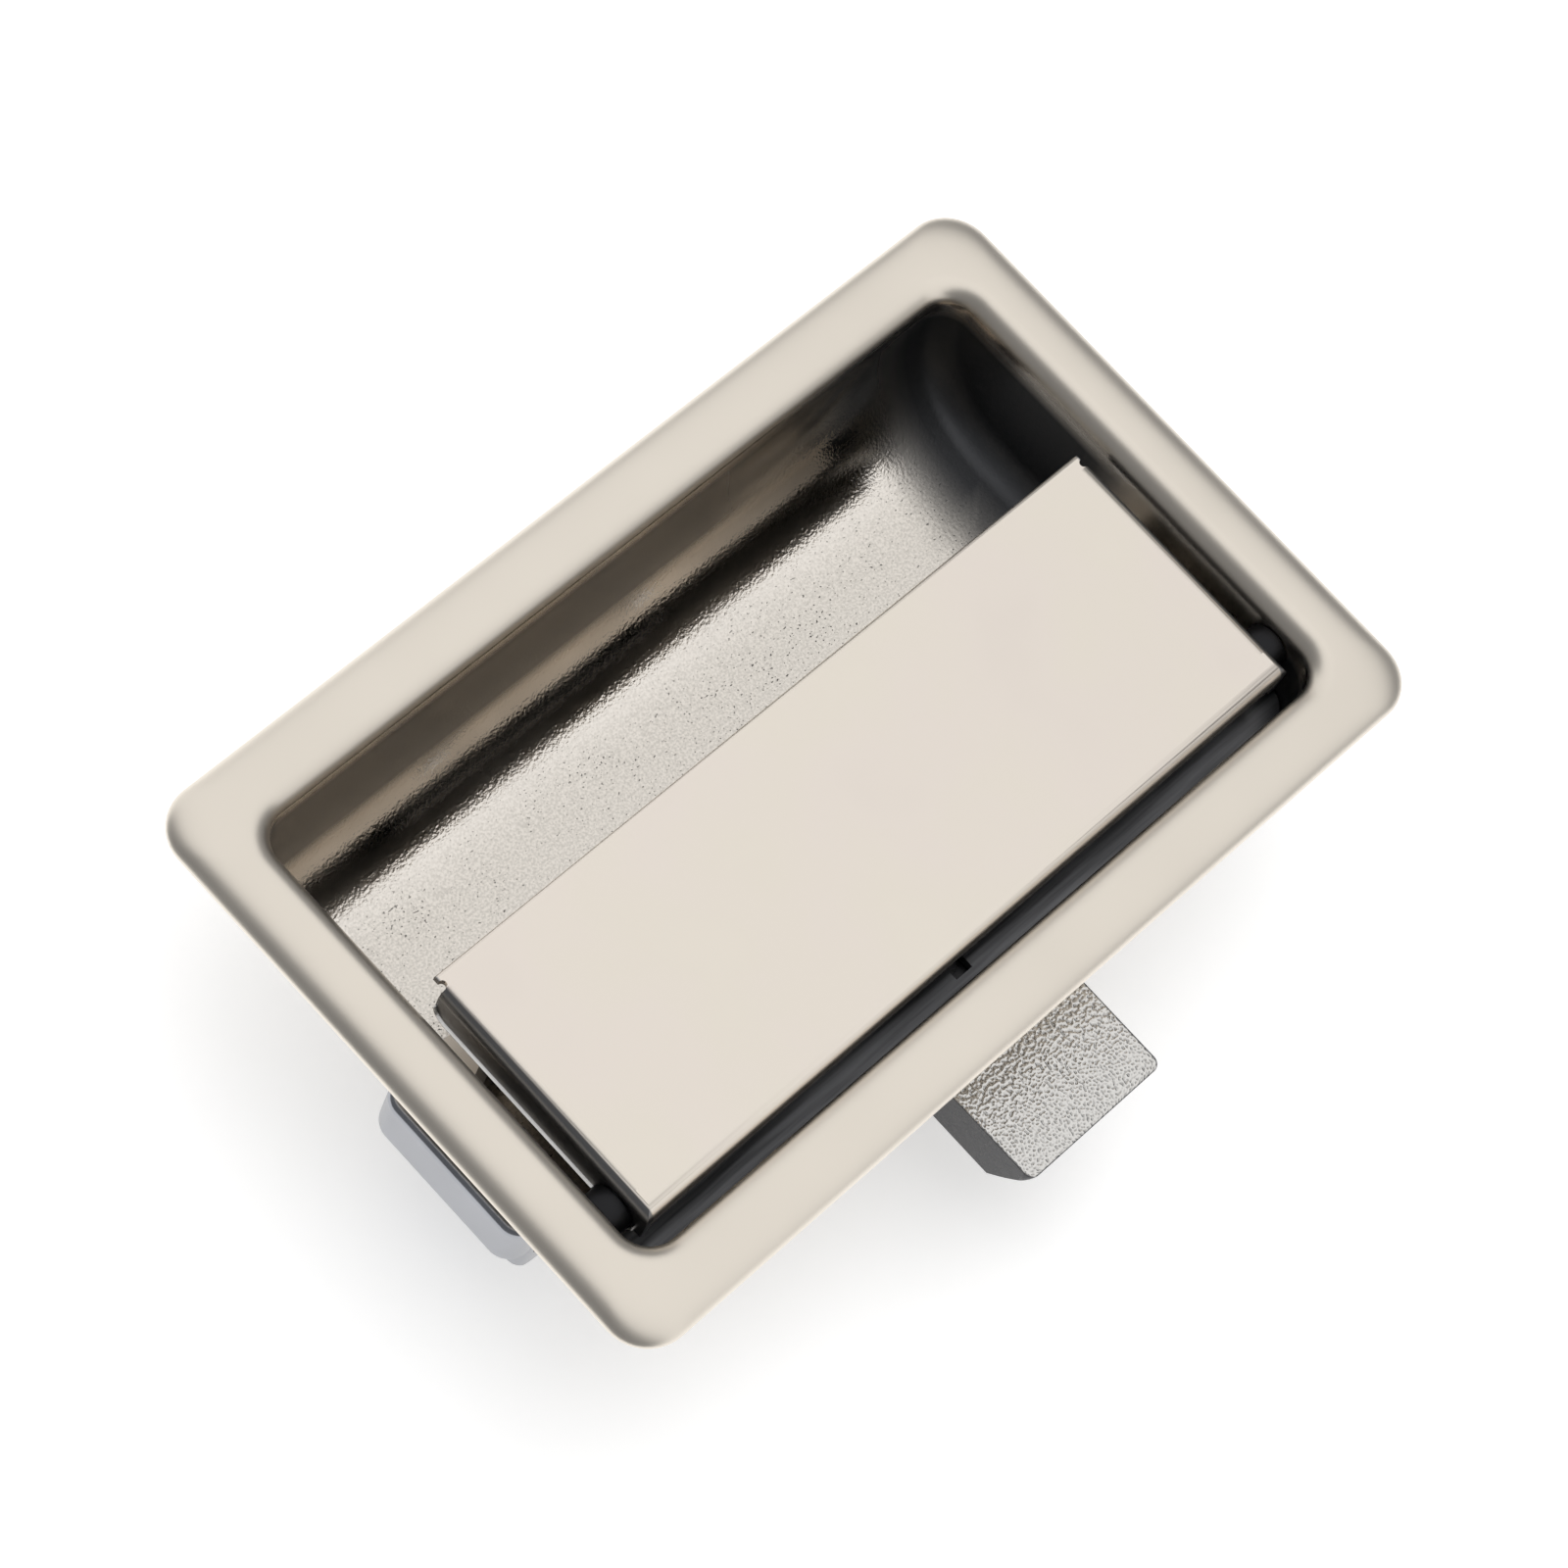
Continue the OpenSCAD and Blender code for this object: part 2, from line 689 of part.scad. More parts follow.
// Compression spring along Y with closed ends
module bolt_spring(side) {
    steps = 12;
    y0 = spring_front + bolt_wire_d / 2 + seat_play;
    y1 = stop_y - bolt_wire_d / 2 - seat_play;
    pitch = (y1 - y0 - 2 * bolt_wire_d) / (bolt_turns - 2);
    path = [
        for (k = [0:bolt_turns * steps])
        let (u = k / steps, a = 360 * u, open = max(0, min(u - 1, bolt_turns - 2)))
        [
            side * spring_x + bolt_spring_r * cos(a),
            y0 + bolt_wire_d * (u - open) + pitch * open,
            spring_z + bolt_spring_r * sin(a)
        ]
    ];
    color(spring_steel) wire(path, bolt_wire_d / 2, [0, 1, 0]);
}

module bolt_spring_left() { bolt_spring(-1); }

module bolt_spring_right() { bolt_spring(1); }

// Outline of the paddle from the side: cheeks, ears and the rounded rear edge
module paddle_side() {
    rear = paddle_rear + paddle_bend_r;
    span([rear, cheek_low], [cheek_front - cheek_nose_r, paddle_top]);
    span([rear, cheek_low + cheek_nose_r], [cheek_front, paddle_top]);
    translate([cheek_front - cheek_nose_r, cheek_low + cheek_nose_r]) circle(cheek_nose_r);
    translate([paddle_rear, paddle_top]) corner_block(paddle_bend_r, 2 * paddle_bend_r, cheek_h);
    translate([pin_y, pin_z]) circle(ear_r);
}

// Narrow lip along the free edge, with a small relief at each end of its root
module paddle_lip() {
    half = paddle_w / 2 - lip_step;
    intersection() {
        translate([0, 0, paddle_under]) linear_extrude(paddle_t) difference() {
            span([-half, cheek_front], [half, paddle_front]);
            for (s = [-1, 1]) translate([s * half, cheek_front + relief_r]) circle(relief_r);
        }
        along_x(-half, half) translate([paddle_front, paddle_top]) mirror([1, 0])
            corner_block(lip_nose_r, 2 * lip_d, paddle_t);
    }
}

module paddle() {
    half = paddle_w / 2;
    color(nickel) difference() {
        union() {
            intersection() {
                along_y(paddle_rear, cheek_front)
                    channel(half, paddle_top, paddle_t, paddle_bend_r, pin_z - 2 * ear_r);
                along_x(-half, half) paddle_side();
            }
            along_x(paddle_t - half, half - paddle_t) difference() {
                translate([paddle_rear, paddle_top]) corner_block(paddle_bend_r, 2 * paddle_bend_r, hem_h);
                translate([paddle_rear + paddle_t, paddle_top - paddle_t])
                    corner_block(paddle_bend_r - paddle_t, 2 * paddle_bend_r, hem_h);
            }
            paddle_lip();
        }
        translate([0, pin_y, pin_z]) rod_x(-half - through, half + through, pin_r + pin_play);
    }
}

// Outline of the yoke from the side: plate, gusset, ear and the arm down to its round tip
module yoke_side() {
    front = yoke_rear + yoke_plate_d;
    translate([pin_y, pin_z]) circle(arm_ear_r);
    span([pin_y - arm_half, arm_tip_z], [pin_y + arm_half, pin_z]);
    translate([pin_y, arm_tip_z]) circle(arm_half);
    polygon([
        [pin_y + arm_ear_r / 2, pin_z - gusset_drop],
        [front, paddle_under - yoke_bend_r],
        [front, paddle_under],
        [pin_y + arm_ear_r / 2, paddle_under]
    ]);
}

module drive_yoke() {
    inner = yoke_half - yoke_t;
    color(black_steel) difference() {
        intersection() {
            along_y(pin_y - 2 * arm_ear_r, yoke_rear + yoke_plate_d)
                channel(yoke_half, paddle_under, yoke_t, yoke_bend_r, floor_z);
            along_x(-yoke_half, yoke_half) yoke_side();
        }
        along_y(pin_y - 3 * arm_ear_r, yoke_rear) span([-inner, floor_z], [inner, paddle_top]);
        translate([0, pin_y, pin_z]) rod_x(-yoke_half - through, yoke_half + through, pin_r + pin_play);
    }
}

// Outline of the bolt from above: body with a rounded tip, and the cross-head
module bolt_plan() {
    half = bolt_w / 2;
    span([-half, bolt_tip + tip_corner_r], [half, head_rear]);
    span([tip_corner_r - half, bolt_tip], [half - tip_corner_r, head_rear]);
    for (s = [-1, 1]) translate([s * (half - tip_corner_r), bolt_tip + tip_corner_r]) circle(tip_corner_r);
    translate([0, head_front + head_t / 2]) rounded_rect(2 * head_half, head_t, head_corner_r);
}

module slam_bolt() {
    color(cast_grey) difference() {
        intersection() {
            translate([0, 0, bolt_low]) linear_extrude(bolt_t) bolt_plan();
            along_x(-head_half, head_half) {
                span([bolt_tip + nose_run, bolt_low], [head_rear, bolt_top]);
                intersection() {
                    translate([nose_y, nose_z]) circle(nose_r);
                    span([bolt_tip, bolt_low], [bolt_tip + nose_run, bolt_top]);
                }
            }
        }
        for (s = [-1, 1]) translate([s * spring_x, 0, spring_z])
            rod_y(spring_front, head_rear + through, pocket_r);
    }
}

// Pad of a clamp about its own middle, rounded along its upper and its lower edge
module clamp_pad() {
    core_x = pad_out - pad_x - 2 * pad_low_r;
    core_y = clamp_w - 2 * pad_low_r;
    core_r = pad_corner_r - pad_low_r;
    translate([0, 0, pad_low]) linear_extrude(pad_h) rounded_rect(core_x, core_y, core_r);
    round_sweep(core_x, core_y, core_r) intersection() {
        foot_round(pad_low_r, pad_low, -grip);
        translate([pad_low_r, -grip]) mirror([1, 0]) corner_block(pad_roll_r, 2 * pad_low_r, pad_h);
    }
}

// Panel clamp on the right: pad under the flange, web down the wall and foot on the stud
module clamp() {
    inner_end = stud_x - stud_margin;
    outer = pad_x + web_t;
    web_w = clamp_w - 2 * web_step;
    color(zinc_blue) difference() {
        union() {
            translate([(pad_x + pad_out) / 2, clamp_y, 0]) clamp_pad();
            intersection() {
                along_y(clamp_y - web_w / 2, clamp_y + web_w / 2) difference() {
                    translate([outer, foot_low]) mirror([1, 0]) mirror([0, 1])
                        corner_block(foot_bend_r, outer - inner_end, pad_low + pad_corner_r - foot_low);
                    translate([pad_x, foot_hi]) mirror([1, 0]) mirror([0, 1])
                        corner_block(foot_bend_r - foot_t, pad_x - inner_end + through, -foot_hi);
                }
                translate([(inner_end + outer) / 2, clamp_y, foot_low - through]) linear_extrude(-foot_low)
                    rounded_rect(outer - inner_end, web_w, pad_corner_r);
            }
        }
        translate([stud_x, clamp_y, foot_low - through])
            cylinder(r = stud_d / 2 + stud_hole_play, h = foot_t + 2 * through);
    }
}

module clamp_left() { mirror([1, 0, 0]) clamp(); }

module clamp_right() { clamp(); }

module clamp_washer(side) {
    color(zinc_blue) translate([side * stud_x, clamp_y, nut_top]) difference() {
        cylinder(r = washer_r, h = washer_t);
        translate([0, 0, -through]) cylinder(r = stud_d / 2 + stud_hole_play, h = 2 * through);
    }
}

module clamp_washer_left() { clamp_washer(-1); }

module clamp_washer_right() { clamp_washer(1); }

// Hexagon nut with its corners turned off at both ends
module clamp_nut(side) {
    corner = nut_flats / sqrt(3);
    flat = nut_flats / 2;
    turn = (corner - flat) * tan(nut_turn_angle);
    color(zinc_blue) translate([side * stud_x, clamp_y, nut_top - nut_h]) difference() {
        intersection() {
            cylinder(r = corner, h = nut_h, $fn = 6);
            rotate_extrude() polygon([
                [0, 0], [flat, 0], [corner, turn], [corner, nut_h - turn], [flat, nut_h], [0, nut_h]
            ]);
        }
        translate([0, 0, -through]) cylinder(r = stud_d / 2 + thread_play, h = nut_h + 2 * through);
    }
}

module clamp_nut_left() { clamp_nut(-1); }

module clamp_nut_right() { clamp_nut(1); }

recess_pan();
hinge_pin();
pin_clip();
spacer_left();
spacer_right();
bolt_guide();
guide_rivets();
spring_stop();
stop_rivets();
spring_pegs();
stud_left();
stud_right();
paddle_spring_left();
paddle_spring_right();
bolt_spring_left();
bolt_spring_right();
paddle();
drive_yoke();
slam_bolt();
clamp_left();
clamp_washer_left();
clamp_nut_left();
clamp_right();
clamp_washer_right();
clamp_nut_right();
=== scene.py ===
"""Looks of a recessed paddle latch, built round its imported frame.

The classes below hold their sizes in millimetres, and meshes are written in metres. The axes are the
frame's: X along the flange's long side, +Y towards the finger trough and +Z out of the panel.
"""

import json
import logging
import math
from dataclasses import dataclass, field
from enum import Enum

import bmesh
import bpy
import numpy as np
from mathutils import Matrix, Vector


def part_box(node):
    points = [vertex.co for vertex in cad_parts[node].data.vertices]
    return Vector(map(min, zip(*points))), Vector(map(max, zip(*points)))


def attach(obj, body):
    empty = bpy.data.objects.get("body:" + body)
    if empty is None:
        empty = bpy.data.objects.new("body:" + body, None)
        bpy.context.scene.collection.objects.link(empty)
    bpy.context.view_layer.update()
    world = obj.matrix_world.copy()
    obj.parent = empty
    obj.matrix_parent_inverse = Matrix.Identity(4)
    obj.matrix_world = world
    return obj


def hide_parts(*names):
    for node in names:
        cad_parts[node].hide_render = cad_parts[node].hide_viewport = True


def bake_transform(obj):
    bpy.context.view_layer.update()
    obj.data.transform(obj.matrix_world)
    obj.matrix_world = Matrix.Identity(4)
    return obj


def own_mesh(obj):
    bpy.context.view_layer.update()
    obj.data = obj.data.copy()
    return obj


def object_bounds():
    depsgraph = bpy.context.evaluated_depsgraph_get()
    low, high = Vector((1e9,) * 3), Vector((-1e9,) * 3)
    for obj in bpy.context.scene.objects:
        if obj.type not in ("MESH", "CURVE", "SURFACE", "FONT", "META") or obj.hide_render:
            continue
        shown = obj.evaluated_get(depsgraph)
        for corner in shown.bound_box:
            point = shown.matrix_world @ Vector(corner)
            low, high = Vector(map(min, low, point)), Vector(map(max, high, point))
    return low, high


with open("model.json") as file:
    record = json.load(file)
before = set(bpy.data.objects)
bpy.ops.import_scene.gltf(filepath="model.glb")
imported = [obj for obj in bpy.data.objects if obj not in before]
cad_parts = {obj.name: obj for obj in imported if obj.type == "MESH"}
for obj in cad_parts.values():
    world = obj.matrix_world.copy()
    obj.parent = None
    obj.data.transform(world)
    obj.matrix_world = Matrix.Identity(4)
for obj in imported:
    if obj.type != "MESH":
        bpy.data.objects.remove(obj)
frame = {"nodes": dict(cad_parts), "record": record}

LOG = logging.getLogger("latch")
MM = 0.001
CAD_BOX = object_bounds()

Colour = tuple[float, float, float, float]
Triple = tuple[float, float, float]
Span = tuple[float, float]
Array = np.ndarray
Socket = bpy.types.NodeSocket
Material = bpy.types.Material
Piece = bpy.types.Object

# A noise pattern's values seldom leave the wide span, and most of them lie within the middle one
WIDE: Span = (0.3, 0.7)
MIDDLE: Span = (0.35, 0.65)


class Body(str, Enum):
    """The bodies that pieces ride on."""

    HOUSING = "housing"
    HANDLE = "handle"
    BOLT = "bolt"


class Slot(str, Enum):
    """The record's material slots."""

    PAN = "pan_nickel"
    PADDLE = "paddle_nickel"
    BOLT = "bolt_cast"
    CLAMP = "clamp_zinc"
    STEEL = "bright_steel"
    BLACK = "black_steel"
    SPRING = "spring_steel"


def node_box(node: str) -> tuple[Array, Array]:
    """Gives the lowest and highest corner of a node's box at rest, in millimetres."""
    low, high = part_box(node)
    return np.array(low) / MM, np.array(high) / MM


def points(*axes: object) -> Array:
    """Joins coordinates to points. A single value holds for all of them."""
    return np.stack(np.broadcast_arrays(*axes), axis=-1)


def unit(vectors: Array) -> Array:
    """Scales vectors to a length of 1."""
    return vectors / np.linalg.norm(vectors, axis=-1, keepdims=True)


@dataclass
class Patchwork:
    """Grids of points that become one mesh, with a value of each of its attributes at every point."""

    points: list[Array] = field(default_factory=list)
    quads: list[Array] = field(default_factory=list)
    values: dict[str, list[Array]] = field(default_factory=dict)
    count: int = 0
    weld: float = 0.002

    def add(self, grid: Array, closed: bool = False, keep: Array | None = None, **values: Array) -> None:
        """Adds the quads between neighbouring points of a grid.

        Args:
            grid: Points in millimetres, as rows by columns by three.
            closed: Whether the last column joins the first.
            keep: Which quads stay, as rows less one by columns (less one where the grid is open).
            values: The attributes' values, which fit rows by columns.
        """
        rows, columns = grid.shape[:2]
        index = np.arange(rows * columns).reshape(rows, columns)
        if closed:
            index = np.concatenate([index, index[:, :1]], axis=1)
        quads = np.stack([index[:-1, :-1], index[:-1, 1:], index[1:, 1:], index[1:, :-1]], axis=-1)
        quads = quads[keep] if keep is not None else quads.reshape(-1, 4)
        self.points.append(grid.reshape(-1, 3))
        self.quads.append(quads + self.count)
        for name, value in values.items():
            self.values.setdefault(name, []).append(np.broadcast_to(value, (rows, columns)).reshape(-1))
        self.count += rows * columns

    def build(self, name: str, sharp_deg: float = 35.0) -> Piece:
        """Joins the grids where they meet and makes the object.

        Args:
            name: Name of the piece.
            sharp_deg: Angle between faces above which an edge stays sharp.

        Returns:
            The object, at the origin, with its faces pointing outwards.
        """
        mesh = bpy.data.meshes.new(name)
        mesh.from_pydata(np.concatenate(self.points) * MM, [], np.concatenate(self.quads))
        for key, parts in self.values.items():
            layer = mesh.attributes.new(key, "FLOAT", "POINT")
            layer.data.foreach_set("value", np.concatenate(parts).astype(np.float32))
        work = bmesh.new()
        work.from_mesh(mesh)
        bmesh.ops.remove_doubles(work, verts=work.verts, dist=self.weld * MM)
        bmesh.ops.dissolve_degenerate(work, edges=work.edges, dist=self.weld * MM / 10)
        bmesh.ops.recalc_face_normals(work, faces=work.faces)
        work.to_mesh(mesh)
        work.free()
        mesh.shade_smooth()
        mesh.set_sharp_from_angle(angle=math.radians(sharp_deg))
        piece = bpy.data.objects.new(name, mesh)
        bpy.context.scene.collection.objects.link(piece)
        return piece


def rod(name: str, rings: Array, sharp_deg: float = 35.0) -> Piece:
    """Makes a closed piece of rings, whose ends run in to a point in their middle.

    Args:
        name: Name of the piece.
        rings: Rings of points in millimetres.
        sharp_deg: Angle between faces above which an edge stays sharp.

    Returns:
        The piece.
    """
    tips = rings[[0, -1]].mean(axis=1, keepdims=True).repeat(rings.shape[1], axis=1)
    work = Patchwork()
    work.add(np.concatenate([tips[:1], rings, tips[1:]]), True)
    return work.build(name, sharp_deg)


def dress(piece: Piece, material: Material) -> None:
    """Gives a piece one material in place of those that it has."""
    piece.data.materials.clear()
    piece.data.materials.append(material)


def seat(piece: Piece, body: Body | None, slot: Slot, material: Material, *nodes: str) -> None:
    """Dresses a new piece and puts it on its body.

    Args:
        piece: The new piece, in place.
        body: Body that it rides on, or None for a piece that is put on none.
        slot: Material slot of the record; not used.
        material: Its finish.
        nodes: Nodes that it stands for.
    """
    dress(piece, material)
    if body:
        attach(piece, body.value)
    if nodes:
        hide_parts(*nodes)
    LOG.info("%s: %d faces", piece.name, len(piece.data.polygons))


@dataclass
class Nodes:
    """A node tree that is filled by short calls."""

    tree: bpy.types.NodeTree

    def node(self, kind: str, inputs: dict | None = None, **settings: object) -> bpy.types.Node:
        """Adds a node.

        Args:
            kind: Blender's name of the node's type.
            inputs: Values or output sockets for its inputs, by name or number.
            settings: Values of its other properties.

        Returns:
            The node.
        """
        made = self.tree.nodes.new(kind)
        for key, value in settings.items():
            setattr(made, key, value)
        for key, value in (inputs or {}).items():
            if isinstance(value, Socket):
                self.tree.links.new(value, made.inputs[key])
            else:
                made.inputs[key].default_value = value
        return made

    def math(self, operation: str, a: object, b: object) -> Socket:
        """Adds a sum, product or other operation on two values and gives its result."""
        return self.node("ShaderNodeMath", {0: a, 1: b}, operation=operation).outputs[0]

    def seen(self) -> Socket:
        """Tells the rays that show a surface from those that only carry its light.

        Returns:
            1 on camera, glossy and transmission rays, and 0 on the others.
        """
        path = self.node("ShaderNodeLightPath").outputs
        sharp = self.math("MAXIMUM", path["Is Glossy Ray"], path["Is Transmission Ray"])
        return self.math("MAXIMUM", path["Is Camera Ray"], sharp)


class Shader(Nodes):
    """A material, whose patterns lie on the object's own coordinates."""

    def __init__(self, name: str, metallic: float = 1.0) -> None:
        """Starts a material with a surface shader.

        Args:
            name: Name of the material.
            metallic: 1 for metal, 0 for the studio's surfaces.
        """
        self.material = bpy.data.materials.new(name)
        self.material.use_nodes = True
        super().__init__(self.material.node_tree)
        self.surface = self.tree.nodes["Principled BSDF"]
        self.plain({"Metallic": metallic})
        self.place = self.node("ShaderNodeTexCoord").outputs["Object"]

    def plain(self, values: dict[str, object]) -> None:
        """Sets inputs of the surface shader to fixed values."""
        for name, value in values.items():
            self.surface.inputs[name].default_value = value

    def feed(self, name: str, value: Socket) -> None:
        """Links a value to one of the surface shader's inputs."""
        self.tree.links.new(value, self.surface.inputs[name])

    def noise(self, per_mm: float, detail: float = 3.0, stretch: Triple = (1, 1, 1)) -> Socket:
        """Adds a noise pattern.

        Args:
            per_mm: Waves in a millimetre.
            detail: Octaves of finer noise.
            stretch: Factor on the waves along each axis.

        Returns:
            Its value, from 0 to 1.
        """
        mapped = self.node("ShaderNodeMapping", {"Vector": self.place, "Scale": stretch}).outputs[0]
        inputs = {"Vector": mapped, "Scale": per_mm / MM, "Detail": detail}
        return self.node("ShaderNodeTexNoise", inputs).outputs["Fac"]

    def remap(self, value: Socket, span: Span, to: Span = (0, 1)) -> Socket:
        """Maps a span onto another one, and holds its ends beyond it."""
        ends = dict(zip(("From Min", "From Max", "To Min", "To Max"), (*span, *to)))
        return self.node("ShaderNodeMapRange", {"Value": value, **ends}).outputs["Result"]

    def blend(self, factor: object, a: object, b: object) -> Socket:
        """Mixes two colours by a factor and gives the colour."""
        inputs = {"Factor": factor, 6: a, 7: b}
        return self.node("ShaderNodeMix", inputs, data_type="RGBA").outputs[2]

    def attribute(self, name: str) -> Socket:
        """Reads one of the piece's own attributes."""
        return self.node("ShaderNodeAttribute", attribute_name=name).outputs["Fac"]

    def along(self, axis: str) -> Socket:
        """Gives one of the object's own coordinates, in millimetres."""
        place = self.node("ShaderNodeSeparateXYZ", {0: self.place}).outputs[axis]
        return self.math("DIVIDE", place, MM)

    def bump(self, height: Socket, depth: float, strength: float) -> None:
        """Tilts the surface by a share of a pattern from 0 to 1 that is so many millimetres deep."""
        inputs = {"Height": height, "Strength": strength, "Distance": depth * MM}
        self.feed("Normal", self.node("ShaderNodeBump", inputs).outputs[0])


def shaded(colour: Colour, factor: float) -> Colour:
    """Gives a darker tone of a colour."""
    return tuple(c * factor for c in colour[:3]) + (1,)


@dataclass(frozen=True)
class PaddleNickel:
    """Warm satin nickel on the top, with faint clouds; rougher below, darkened partly by painted shade;
    cheeks darkened by painted dark reflection.
    """

    colour: Colour = (0.80, 0.74, 0.655, 1)
    cloud_colour: Colour = (0.82, 0.75, 0.68, 1)
    under_shaded_colour: Colour = (0.60, 0.565, 0.52, 1)
    cheek_painted_reflection: Colour = (0.24, 0.24, 0.245, 1)
    satin_rough: Span = (0.30, 0.38)
    under_rough: float = 0.38
    cheek_x: Span = (44.05, 44.25)
    top_z: Span = (0.12, 0.28)
    clouds_per_mm: float = 0.06
    cloud_noise: Span = (0.4, 0.6)
    grain_per_mm: float = 9.0
    grain_depth: float = 0.004

    def material(self) -> Material:
        """Makes the finish. The object's own coordinates tell the top and the cheeks from the rest.

        Returns:
            The material.
        """
        shader = Shader("paddle_nickel")
        clouds = shader.noise(self.clouds_per_mm)
        satin = shader.blend(shader.remap(clouds, self.cloud_noise), self.colour, self.cloud_colour)
        on_cheek = shader.remap(shader.math("ABSOLUTE", shader.along("X"), 0.0), self.cheek_x)
        # The cheeks' dark colour is a painted dark reflection, and the underside's darker colour is partly
        # painted shade.
        below = shader.blend(on_cheek, self.under_shaded_colour, self.cheek_painted_reflection)
        on_top = shader.remap(shader.along("Z"), self.top_z)
        on_top = shader.math("MULTIPLY", on_top, shader.math("SUBTRACT", 1.0, on_cheek))
        shader.feed("Base Color", shader.blend(on_top, below, satin))
        rough = shader.remap(clouds, WIDE, self.satin_rough)
        over = shader.math("MULTIPLY", on_top, shader.math("SUBTRACT", rough, self.under_rough))
        shader.feed("Roughness", shader.math("ADD", over, self.under_rough))
        shader.bump(shader.noise(self.grain_per_mm, detail=2.0), self.grain_depth, strength=0.5)
        return shader.material


@dataclass(frozen=True)
class PanNickel:
    """Satin nickel on the flange that turns polished down the walls, with a finely pitted floor."""

    satin: Colour = (0.80, 0.74, 0.655, 1)
    polished: Colour = (0.92, 0.87, 0.81, 1)
    floor: Colour = (0.75, 0.705, 0.645, 1)
    dull: Colour = (0.54, 0.51, 0.465, 1)
    pit_colour: Colour = (0.10, 0.095, 0.09, 1)
    # Near black for the painted shade and painted dark reflection in the recess.
    painted_shade_colour: Colour = (0.115, 0.118, 0.125, 1)
    satin_rough: float = 0.38
    polished_rough: float = 0.11
    floor_rough: float = 0.20
    end_rough: float = 0.34
    uneven_rough: Span = (-0.02, 0.03)
    clouds_per_mm: float = 0.06
    patches_per_mm: float = 0.12
    patch_lift: Span = (0.0, 0.07)
    speckle_per_mm: float = 3.6
    speckle_noise: Span = (0.36, 0.62)
    speckle_share: Span = (0.8, 0.0)
    pits_per_mm: float = 4.2
    pit_stretch: Triple = (0.7, 1, 1)
    pit_noise: Span = (0.735, 0.765)
    pit_share: float = 0.5
    dents_per_mm: float = 2.9
    dent_share: Span = (0.05, 1.0)
    dent_depth: float = 0.019

    def material(self) -> Material:
        """Makes the finish.

        The attribute polish is 1 in the recess, and pitting is 1 on its floor and falls off up the trough. A
        third attribute blends the colour to near black where it is 1: painted shade and painted dark
        reflection, with a rougher finish.

        Returns:
            The material.
        """
        shader = Shader("pan_nickel")
        polish = shader.attribute("polish")
        pitting = shader.attribute("pitting")
        dullness = shader.attribute("dullness")
        patches = shader.remap(shader.noise(self.patches_per_mm), MIDDLE, self.patch_lift)
        specks = shader.noise(self.pits_per_mm, detail=1.0, stretch=self.pit_stretch)
        pits = shader.remap(shader.math("ADD", specks, patches), self.pit_noise)
        pits = shader.math("MULTIPLY", pits, pitting)
        speckle = shader.noise(self.speckle_per_mm)
        grain = shader.remap(speckle, self.speckle_noise, self.speckle_share)
        metal = shader.blend(polish, self.satin, self.polished)
        metal = shader.blend(pitting, metal, self.floor)
        metal = shader.blend(shader.math("MULTIPLY", grain, pitting), metal, self.dull)
        metal = shader.blend(pits, metal, self.pit_colour)
        # Painted shade and painted dark reflection: the recess's third attribute darkens the colour to near
        # black.
        shader.feed("Base Color", shader.blend(dullness, metal, self.painted_shade_colour))
        rough = shader.remap(polish, (0, 1), (self.satin_rough, self.polished_rough))
        floor = shader.math("MULTIPLY", pitting, self.floor_rough - self.polished_rough)
        ends = shader.math("MULTIPLY", dullness, self.end_rough)
        uneven = shader.remap(shader.noise(self.clouds_per_mm), WIDE, self.uneven_rough)
        for more in (floor, ends, uneven):
            rough = shader.math("ADD", rough, more)
        shader.feed("Roughness", rough)
        share = shader.remap(polish, (0, 1), self.dent_share)
        dents = shader.math("MULTIPLY", shader.noise(self.dents_per_mm, detail=1.5), share)
        dents = shader.math("SUBTRACT", dents, shader.math("MULTIPLY", pits, self.pit_share))
        shader.bump(dents, self.dent_depth, strength=1.0)
        return shader.material


@dataclass(frozen=True)
class CastNickel:
    """Plated casting with a grain, lighter on its peaks and darker in its hollows, where the darker colour
    is painted shade.
    """

    colour: Colour = (0.72, 0.705, 0.68, 1)
    hollow_colour: Colour = (0.44, 0.43, 0.415, 1)
    roughness: Span = (0.17, 0.31)
    fine_per_mm: float = 4.0
    fine_depth: float = 0.006
    peaks: Span = (0.1, 0.75)

    def material(self) -> Material:
        """Makes the finish from the attribute grain, 0 in the hollows and 1 on the peaks.

        Returns:
            The material.
        """
        shader = Shader("cast_nickel_grain")
        fine = shader.noise(self.fine_per_mm)
        peaks = shader.remap(shader.attribute("grain"), self.peaks)
        shader.feed("Base Color", shader.blend(peaks, self.hollow_colour, self.colour))
        shader.feed("Roughness", shader.remap(fine, WIDE, self.roughness))
        shader.bump(fine, self.fine_depth, strength=0.3)
        return shader.material


@dataclass(frozen=True)
class PlatedSteel:
    """Plated, blackened or oiled metal with faint clouds and fine marks."""

    name: str
    colour: Colour
    roughness: float
    marks: Triple = (1, 1, 1)
    marks_per_mm: float = 2.5
    marks_depth: float = 0.003
    marks_share: float = 0.4
    clouds_per_mm: float = 0.15
    shade: float = 0.9
    uneven: Span = (0.85, 1.2)

    def material(self) -> Material:
        """Makes the finish.

        Returns:
            The material.
        """
        shader = Shader(self.name)
        clouds = shader.noise(self.clouds_per_mm, stretch=self.marks)
        dark = shaded(self.colour, self.shade)
        shader.feed("Base Color", shader.blend(shader.remap(clouds, MIDDLE), dark, self.colour))
        rough = (self.roughness * self.uneven[0], self.roughness * self.uneven[1])
        shader.feed("Roughness", shader.remap(clouds, WIDE, rough))
        marks = shader.noise(self.marks_per_mm, stretch=self.marks)
        shader.bump(marks, self.marks_depth, self.marks_share)
        return shader.material


